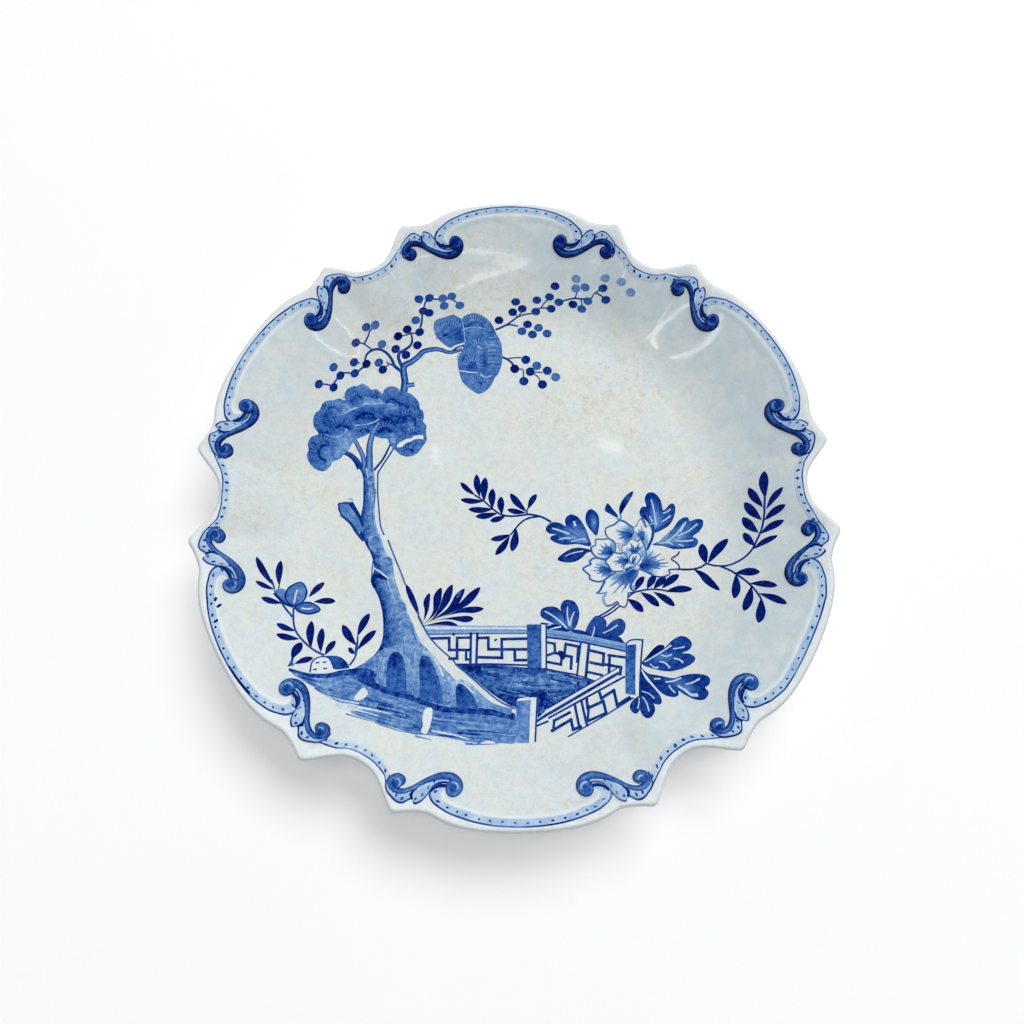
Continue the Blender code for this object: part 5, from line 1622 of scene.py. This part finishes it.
# The dark edges of the petals.
for line, width, tone in (
    (((39, -7.5), (37.2, -9.2), (35.4, -9.9), (33.7, -10.8), (33.7, -13), (35.2, -15), (37.2, -16.6)), 0.5,
     0.74),
    (((38.6, -7.6), (40.6, -8), (42.8, -9.6), (44.1, -10.8), (44, -13.4)), 0.7, 0.64),
    (((44, -10.8), (45.4, -9.8), (46.3, -8.1), (47.3, -6.9)), 0.4, 0.5),
    (((47.3, -6.9), (48.3, -8.4), (48.9, -10.6)), 0.8, 0.7), (((48.8, -10.6), (50.8, -9.4)), 0.4, 0.4),
    (((51.4, -9.6), (51.5, -12), (51, -14.6), (50, -16.8), (48.7, -19.2)), 0.9, 0.84),
    (((39.5, -20.2), (39.4, -17.6), (40.8, -17.2), (42.2, -15.8), (43.4, -14.9), (44.4, -15.4),
      (45.3, -16)), 0.4, 0.56),
    (((45.3, -16), (46.7, -15.1), (47.6, -17), (48.2, -19.4), (48.2, -21.6), (46.6, -23.4)), 0.5, 0.7),
    (((28.2, -17.6), (29.6, -17), (29.8, -14.9), (32, -14.9), (34.4, -14.7), (36.2, -15.4), (37, -16.8),
      (37, -18.6), (36.6, -20.2)), 0.5, 0.62),
    (((28, -17.6), (27.9, -19.2), (28.8, -20.7), (30.2, -21.9), (32.2, -22.4), (34, -21.9), (35.4, -20.9)),
     0.6, 0.74),
    (((35.3, -21), (36.4, -20), (38.2, -20.4), (40, -20.2), (40.9, -21.6), (41.8, -22.8), (42.2, -24)), 0.5,
     0.68),
    (((35, -21.2), (33.5, -22.7), (33, -23.6), (34.2, -25), (34.8, -26.6), (37, -27.2), (39.4, -26.9)), 0.5,
     0.74),
    (((41.6, -22.9), (42.4, -21), (44, -20.2), (45.6, -20.6), (46.1, -22.2), (45, -24), (43.6, -24.8)),
     0.45, 0.66),
    (((39.2, -26.2), (40, -24.9), (41.4, -24), (42.8, -24.6), (44.4, -24.4), (45.4, -25.4)), 0.4, 0.62),
    (((38.2, -17.2), (38.6, -19.8)), 0.35, 0.5), (((37.2, -16.6), (39.8, -16.8)), 0.35, 0.4),
    (((33.2, -22.9), (30.6, -22), (28.6, -22), (27, -23.3), (27.6, -24.1), (25.4, -25.2), (24.5, -26),
      (25.7, -27.3), (27, -28.6), (26.7, -29.6), (28.4, -30.5), (30.6, -30.8), (32.6, -30), (34.4, -28.7),
      (36.6, -27.4)), 0.6, 0.72),
    (((32.4, -30.6), (31.2, -32.6), (30.2, -34.3), (29, -35.1)), 0.7, 0.72),
    (((29, -35.1), (31.2, -35.1), (33, -34.8)), 0.4, 0.6),
    (((32.5, -35.2), (31.5, -36.8), (31.7, -38.6), (32.6, -39.8)), 0.9, 0.4),
    (((32.6, -39.8), (34.6, -39.4), (36.4, -38.3), (37.1, -39.7), (39, -40.4), (40, -39), (40.5, -36.8),
      (40.6, -35.2)), 0.5, 0.76),
    (((40.6, -35.2), (42, -35), (43.4, -34.8)), 0.45, 0.8),
    (((44.8, -26.6), (44, -29), (42.4, -31.2), (41.7, -32.8), (42.2, -34.2), (43.4, -34.4)), 0.7, 0.72),
    (((60.8, -20), (59.8, -21.4), (57.5, -22.8), (59, -24), (60.1, -25.3), (60, -26.6), (58.3, -26.7),
      (56.2, -27), (56.6, -28.4), (54.5, -29.3), (53, -29.5), (51, -29.1), (49.6, -28.9)), 0.5, 0.84),
    (((50.4, -28.8), (48.6, -27.8), (46.8, -26.9), (45.2, -26.2)), 0.7, 0.72),
):
    peony.stroke(line, width * 1.25, width, tone, 2, 0.4, 3)
# The leaves round the flower, each as its outline and the tones spread over it.
for outline, tone in (
    (((27.8, -17.4), (27.3, -14), (26.4, -11), (25, -8.2), (23.4, -6), (21, -5), (19, -6.2), (18.6, -8),
      (18.8, -9.6), (16.6, -8.3), (14.2, -7.9), (12, -9), (11.3, -10.8), (12.6, -12.3), (15.2, -12.6),
      (13.4, -13.2), (12.9, -14.4), (14.6, -15.7), (18, -16.7), (23, -16.5)),
     dabbed(0.9, (23, -12.6, 2.6, 2.2, -0.4), (18.5, -11.6, 2.6, 0.9, -0.2), (25.5, -14.6, 1.2, 1.4, -0.12),
            (20, -14.4, 2.4, 0.7, -0.2))),
    (((30.2, -13.4), (28, -11.2), (26.5, -8.4), (26.4, -5.8), (27.2, -3.9), (28.7, -3.1), (30.6, -4.4),
      (31.5, -7), (31.2, -10.4)),
     dabbed(0.9, (29.4, -8.4, 0.8, 2, -0.4))),
    (((28.6, -19.2), (24.8, -18), (21, -18.1), (17.6, -19.8), (15.2, -22), (17.2, -23.2), (21.2, -23.3),
      (24.2, -21.8), (26.2, -19.9)), 0.9),
    (((35, -0.9), (33.8, -3.6), (35.6, -5), (38.4, -6.6), (38.4, -5.4), (36.8, -3.2)), 0.9),
    (((44.9, 3.7), (42.4, 2.2), (40.2, -0.6), (39.2, -3.6), (39.7, -5.4), (41.2, -3.2), (43.2, -0.2),
      (44.6, 2)),
     dabbed(0.97, (43, 1.2, 1, 1.2, -0.22))),
    (((51.6, -12.8), (50.6, -10.4), (49.4, -8.2), (47.4, -6.4), (46.9, -4.4), (48, -2.5), (49.6, -2.4),
      (49.2, 0.2), (50, 2.4), (51.9, 3.2), (54, 2), (55.4, -0.6), (55.8, -4), (57.2, -3.2), (58.6, -1.7),
      (60, -1.5), (60.6, -3.2), (59.9, -6.4), (58.2, -9.4), (55.4, -11.4)),
     dabbed(0.9, (53.2, -7.2, 1.2, 2.6, -0.42), (52.2, -3.4, 0.9, 2.2, -0.2),
            (57.4, -5.4, 1.4, 1.8, -0.14))),
    (((50.8, -17.3), (54.4, -15.6), (57.4, -13.4), (59.4, -10.8), (61.2, -8.4), (63.4, -7), (65.2, -7.1),
      (65.6, -8.4), (68.4, -7.6), (70.4, -8), (70.6, -9.8), (69, -12.4), (66.2, -14.4), (67.6, -15.2),
      (68.1, -16.8), (66.6, -18.4), (63.2, -19), (58.6, -19.1), (54.8, -17.8)),
     dabbed(0.86, (60.6, -14, 2.6, 1.8, -0.4), (56.4, -16.4, 2.6, 1, -0.36), (64, -10, 2, 1.5, -0.12),
            (63, -17, 2.4, 0.8, -0.12))),
):
    peony.patch(outline, tone, 0, 0.35)
# Fine lines that fan from the foot of each large leaf, then pale veins.
for root, tips in (
    ((26.8, -15.8),
     ((21.8, -8.6), (20.2, -9.4), (18.6, -10.6), (16.4, -10.4), (15.6, -13.6), (18, -15.2), (20.8, -15.8))),
    ((51.8, -11.2),
     ((49, -4.6), (50.6, -2), (52, 1.2), (53.8, -0.6), (54.4, -4.4), (57.2, -4.6), (57.6, -8))),
    ((53, -16.6),
     ((60.2, -10.6), (62.6, -8.6), (65, -9.6), (68.2, -10.2), (66, -12.6), (65.2, -16.8), (61.6, -17.8))),
):
    for i, tip in enumerate(tips):
        peony.stroke((root, tip), 0.5, 0.4, 0.3 if i % 2 else 0.5, 1, 0.4, 4, 0.95 if i % 2 else 0.72)
for vein, width in (
    (((21.9, -7.6), (22.4, -9.6)), 1), (((13.8, -10.3), (17, -11.4), (20, -12.6)), 0.8),
    (((16, -14.7), (18, -14.2), (20.4, -14.2)), 0.6), (((20.6, -15.6), (23.6, -14.8), (26, -14.6)), 0.5),
    (((18.2, -21), (21, -19.9), (24.8, -19.2)), 0.45), (((51.6, 0.2), (52.4, -4), (52.8, -9.8)), 0.6),
    (((55.8, -5.2), (57.4, -4.6), (58.7, -3.6)), 0.6), (((54.8, -8.6), (56.6, -7.6), (58.6, -6.2)), 0.6),
    (((50.6, -6.2), (51.4, -8.4)), 0.5), (((56, -16.4), (60, -13.6), (63.4, -9.4)), 0.6),
    (((60.4, -14.2), (64.6, -12.4), (68.4, -9.6)), 0.6),
    (((59.4, -15.8), (62.6, -16.2), (66.4, -15.8)), 0.6), (((61.6, -12.8), (63, -10.6), (64.2, -8.6)), 0.5),
    (((60.6, -17.4), (62.6, -18)), 0.6), (((53.4, -16.8), (56.6, -16.6), (58.6, -17.4)), 0.5),
):
    peony.stroke(vein, width * 0.8, width, 0.2, 2, 0.3)
# The short stalks, and the sprig below.
peony.stroke(((39.6, -5.2), (39.7, -6.4), (39.2, -7.6)), 0.5, 0.9, 0.5)
peony.stroke(((38.2, -6.4), (38.7, -7.4)), 0.5, 0.6, 0.5)
peony.stroke(
    ((40.4, -36.8), (42.6, -35.2), (45.6, -34.4), (49, -34), (52.4, -34.2), (55.6, -34.9)), 0.7, 0.6, 0.88)
peony.leaves(
    ((46.9, -29.2, 43, -34.6, 2.5), (51.2, -29, 47.7, -33.8, 2.6), (55, -29.7, 50.2, -33.8, 2.7),
     (59.9, -28.8, 53.2, -33.7, 2.7), (64.3, -34.2, 54.4, -34.9, 2.6), (57.4, -40.3, 50, -35, 2.6),
     (51.7, -40.3, 45.2, -35, 2.8), (45.7, -42.2, 40.4, -37.4, 3)))
peony.disc(42.8, -33, 0.7, 0.4, 2)
peony.fire("printed_peony", print_ink)

# The sprays: slender printed sprays with paired leaves, either side of the peony, in the
# deepest blue.
sprays = Transfer(1.5)
for stem, width, end in (
    (((-15.2, 3.2), (-12, 1), (-8.5, -2.3), (-5.5, -4.5), (-2, -5.3), (2, -5.1), (5, -4.7), (8.5, -5.4),
      (11, -6.4), (13.4, -7.9)), 0.5, 0.7),
    (((8.6, -5.6), (5, -6.2), (2.5, -7.5), (0.5, -9.5), (-2, -12.6)), 0.6, 0.5),
    (((4.6, -4.7), (4.4, -3.4), (5, -2)), 0.5, 0.4),
    (((59.8, -26.7), (63, -26.9), (66, -26.7), (68.5, -26), (70.3, -25), (73, -25.8), (77, -26.2),
      (80.5, -25.2), (83.5, -23.5), (86, -21), (88, -17.5), (90, -13.5), (91, -9), (91.3, -5), (91.6, -2)),
     0.6, 0.5),
    (((75, -26.2), (78, -28), (80, -29.8), (82.5, -32.5), (84.5, -35.5), (85.8, -38.5), (86.2, -40.4)), 0.6,
     0.5),
):
    sprays.stroke(stem, width * 1.25, end * 1.2, 0.9)
sprays.leaves(
    ((-20.5, 8.3, -15, 3.2, 2), (-14.4, 11.4, -13.2, 2.4, 2.6), (-11, 10.1, -11.6, 0.8, 3),
     (-8.3, 5.6, -8.5, -2.2, 2.8), (-5.2, 2.4, -5, -4.6, 2.7), (-20.5, 1.5, -11.6, 0.8, 2.2),
     (-17.6, -2.3, -8.2, -2.4, 2.4), (-14.9, -5.2, -6.6, -4, 2.4), (-9.5, -7, -3.6, -5.1, 2.2),
     (-1.7, 3.6, 4.2, -3.6, 2.7), (8.2, 3.1, 4.8, -2.6, 2.3), (-2.9, -2.7, 4, -4, 2.1),
     (-9.4, -14.2, -1.8, -12.4, 2.2), (-7.7, -20, -2.2, -12.9, 2.6), (-1.6, -18.8, 0.2, -10, 3),
     (92.5, 7.8, 91.7, -2.6, 2.9), (87.1, 2.4, 90.8, -5.8, 2.6), (97.2, 0.4, 91.8, -6.6, 2.2),
     (85.4, -2.9, 90.2, -10.4, 2.9), (97.4, -6.1, 91, -10.6, 2.6), (84.4, -8.4, 88.8, -15, 3.1),
     (96.8, -11.6, 89.4, -15.4, 2.6), (84.2, -14.3, 87, -19.8, 2.6), (94.3, -16.9, 86.2, -21, 2.1),
     (69.5, -17.2, 70.3, -25, 3.5), (78.8, -16, 70.8, -24.9, 3.1), (87.3, -29.7, 79.6, -29.3, 3),
     (78, -38.7, 79.8, -29.6, 2.8), (91.7, -35.4, 83.6, -33.6, 2.5), (80.2, -43.5, 84, -34.6, 2.8),
     (93.4, -42.2, 85.8, -37.6, 2.6), (83.9, -48.2, 86.2, -39.4, 2.9)))
sprays.blade(((65.4, -26.8), (68.2, -28.8), (70.6, -31.8), (73.7, -35.3)), 2.9)
sprays.fire("printed_sprays", print_ink)

# The stand: a plain pale floor under soft studio light that comes from beyond the dish,
# with the camera almost overhead, as the dish was photographed.
FLOOR_HALF = 2500
FLOOR_DROP = 0.05
FLOOR_WHITE = pigment(253, 253, 253)
FLOOR_GREY = pigment(249, 249, 250)
WALL_LIGHT = 0.55
CEILING_LIGHT = 0.08
LAMP_AIM = (0, 0, 0.02)
CAMERA_PLACE = (-0.00747, -0.07773, 0.28206)
CAMERA_TURN = (1.333, -15.281, 1.322)
CAMERA_LENS = 26.25
SENSOR_WIDTH = 36
CLIP_START = 0.01

floor_finish, nodes = new_finish("pale_floor")
shader = nodes.tree.nodes["Principled BSDF"]
shader.inputs["Roughness"].default_value = 0.9
shader.inputs["Specular IOR Level"].default_value = 0.0
colour = nodes.cloud(3, 2).mixed(FLOOR_WHITE, FLOOR_GREY)
nodes.tree.links.new(colour.socket, shader.inputs["Base Color"])
shape = bmesh.new()
bmesh.ops.create_grid(shape, x_segments=4, y_segments=4, size=FLOOR_HALF)
bmesh.ops.translate(shape, vec=(0, 0, -FLOOR_DROP), verts=shape.verts)
floor = make_piece("floor", shape, floor_finish, crease=60)
floor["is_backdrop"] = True

scene = bpy.context.scene
scene.view_settings.view_transform = "Standard"
world = bpy.data.worlds.new("studio")
world.use_nodes = True
scene.world = world
nodes = Finish(world.node_tree)
upward = nodes.node("ShaderNodeTexCoord", output="Generated")
upward = nodes.node("ShaderNodeSeparateXYZ", {}, {0: upward}, 2)
strength = WALL_LIGHT + upward.between(0.0, 1.0) * (CEILING_LIGHT - WALL_LIGHT)
background = world.node_tree.nodes["Background"]
background.inputs["Color"].default_value = (1, 1, 1, 1)
world.node_tree.links.new(strength.socket, background.inputs["Strength"])

for name, place, width, height, power, mirrored in (
    ("key_box", (1.39, 2.2, 3.8), 3.2, 2.0, 127, False),
    ("top_box", (0, 0, 4.5), 2.0, 2.0, 70, False),
    ("left_box", (-0.12, 0.42, 1.12), 0.01, 0.04, 0.008, True),
    ("right_box", (0.22, 0.43, 1.12), 0.05, 0.008, 0.016, True),
    ("near_box", (0.1, -0.45, 1.2), 0.45, 0.008, 0.12, True),
    ("side_box", (-0.6, -0.2, 1.2), 0.022, 0.35, 0.18, True),
    ("far_side_box", (0.62, -0.24, 1.2), 0.02, 0.3, 0.12, True),
):
    lamp = bpy.data.lights.new(name, "AREA")
    lamp.shape = "RECTANGLE"
    lamp.size = width
    lamp.size_y = height
    lamp.energy = power
    holder = bpy.data.objects.new(name, lamp)
    holder.location = place
    aim = Vector(LAMP_AIM) - Vector(place)
    holder.rotation_euler = aim.to_track_quat("-Z", "Y").to_euler()
    holder.visible_glossy = mirrored
    scene.collection.objects.link(holder)

tilt, lean, roll = (math.radians(turn) for turn in CAMERA_TURN)
axes = Matrix.Rotation(tilt, 3, "Z") @ Matrix.Rotation(lean, 3, "X") @ Matrix.Rotation(roll, 3, "Y")
camera_data = bpy.data.cameras.new("camera")
camera_data.lens = CAMERA_LENS
camera_data.sensor_width = SENSOR_WIDTH
camera_data.clip_start = CLIP_START
camera = bpy.data.objects.new("camera", camera_data)
camera.matrix_world = Matrix.Translation(CAMERA_PLACE) @ axes.transposed().to_4x4()
scene.collection.objects.link(camera)
scene.camera = camera

boxes = {"cad": cad_box, "visual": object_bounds()}
sizes = {name: [list(corner) for corner in box] for name, box in boxes.items()}
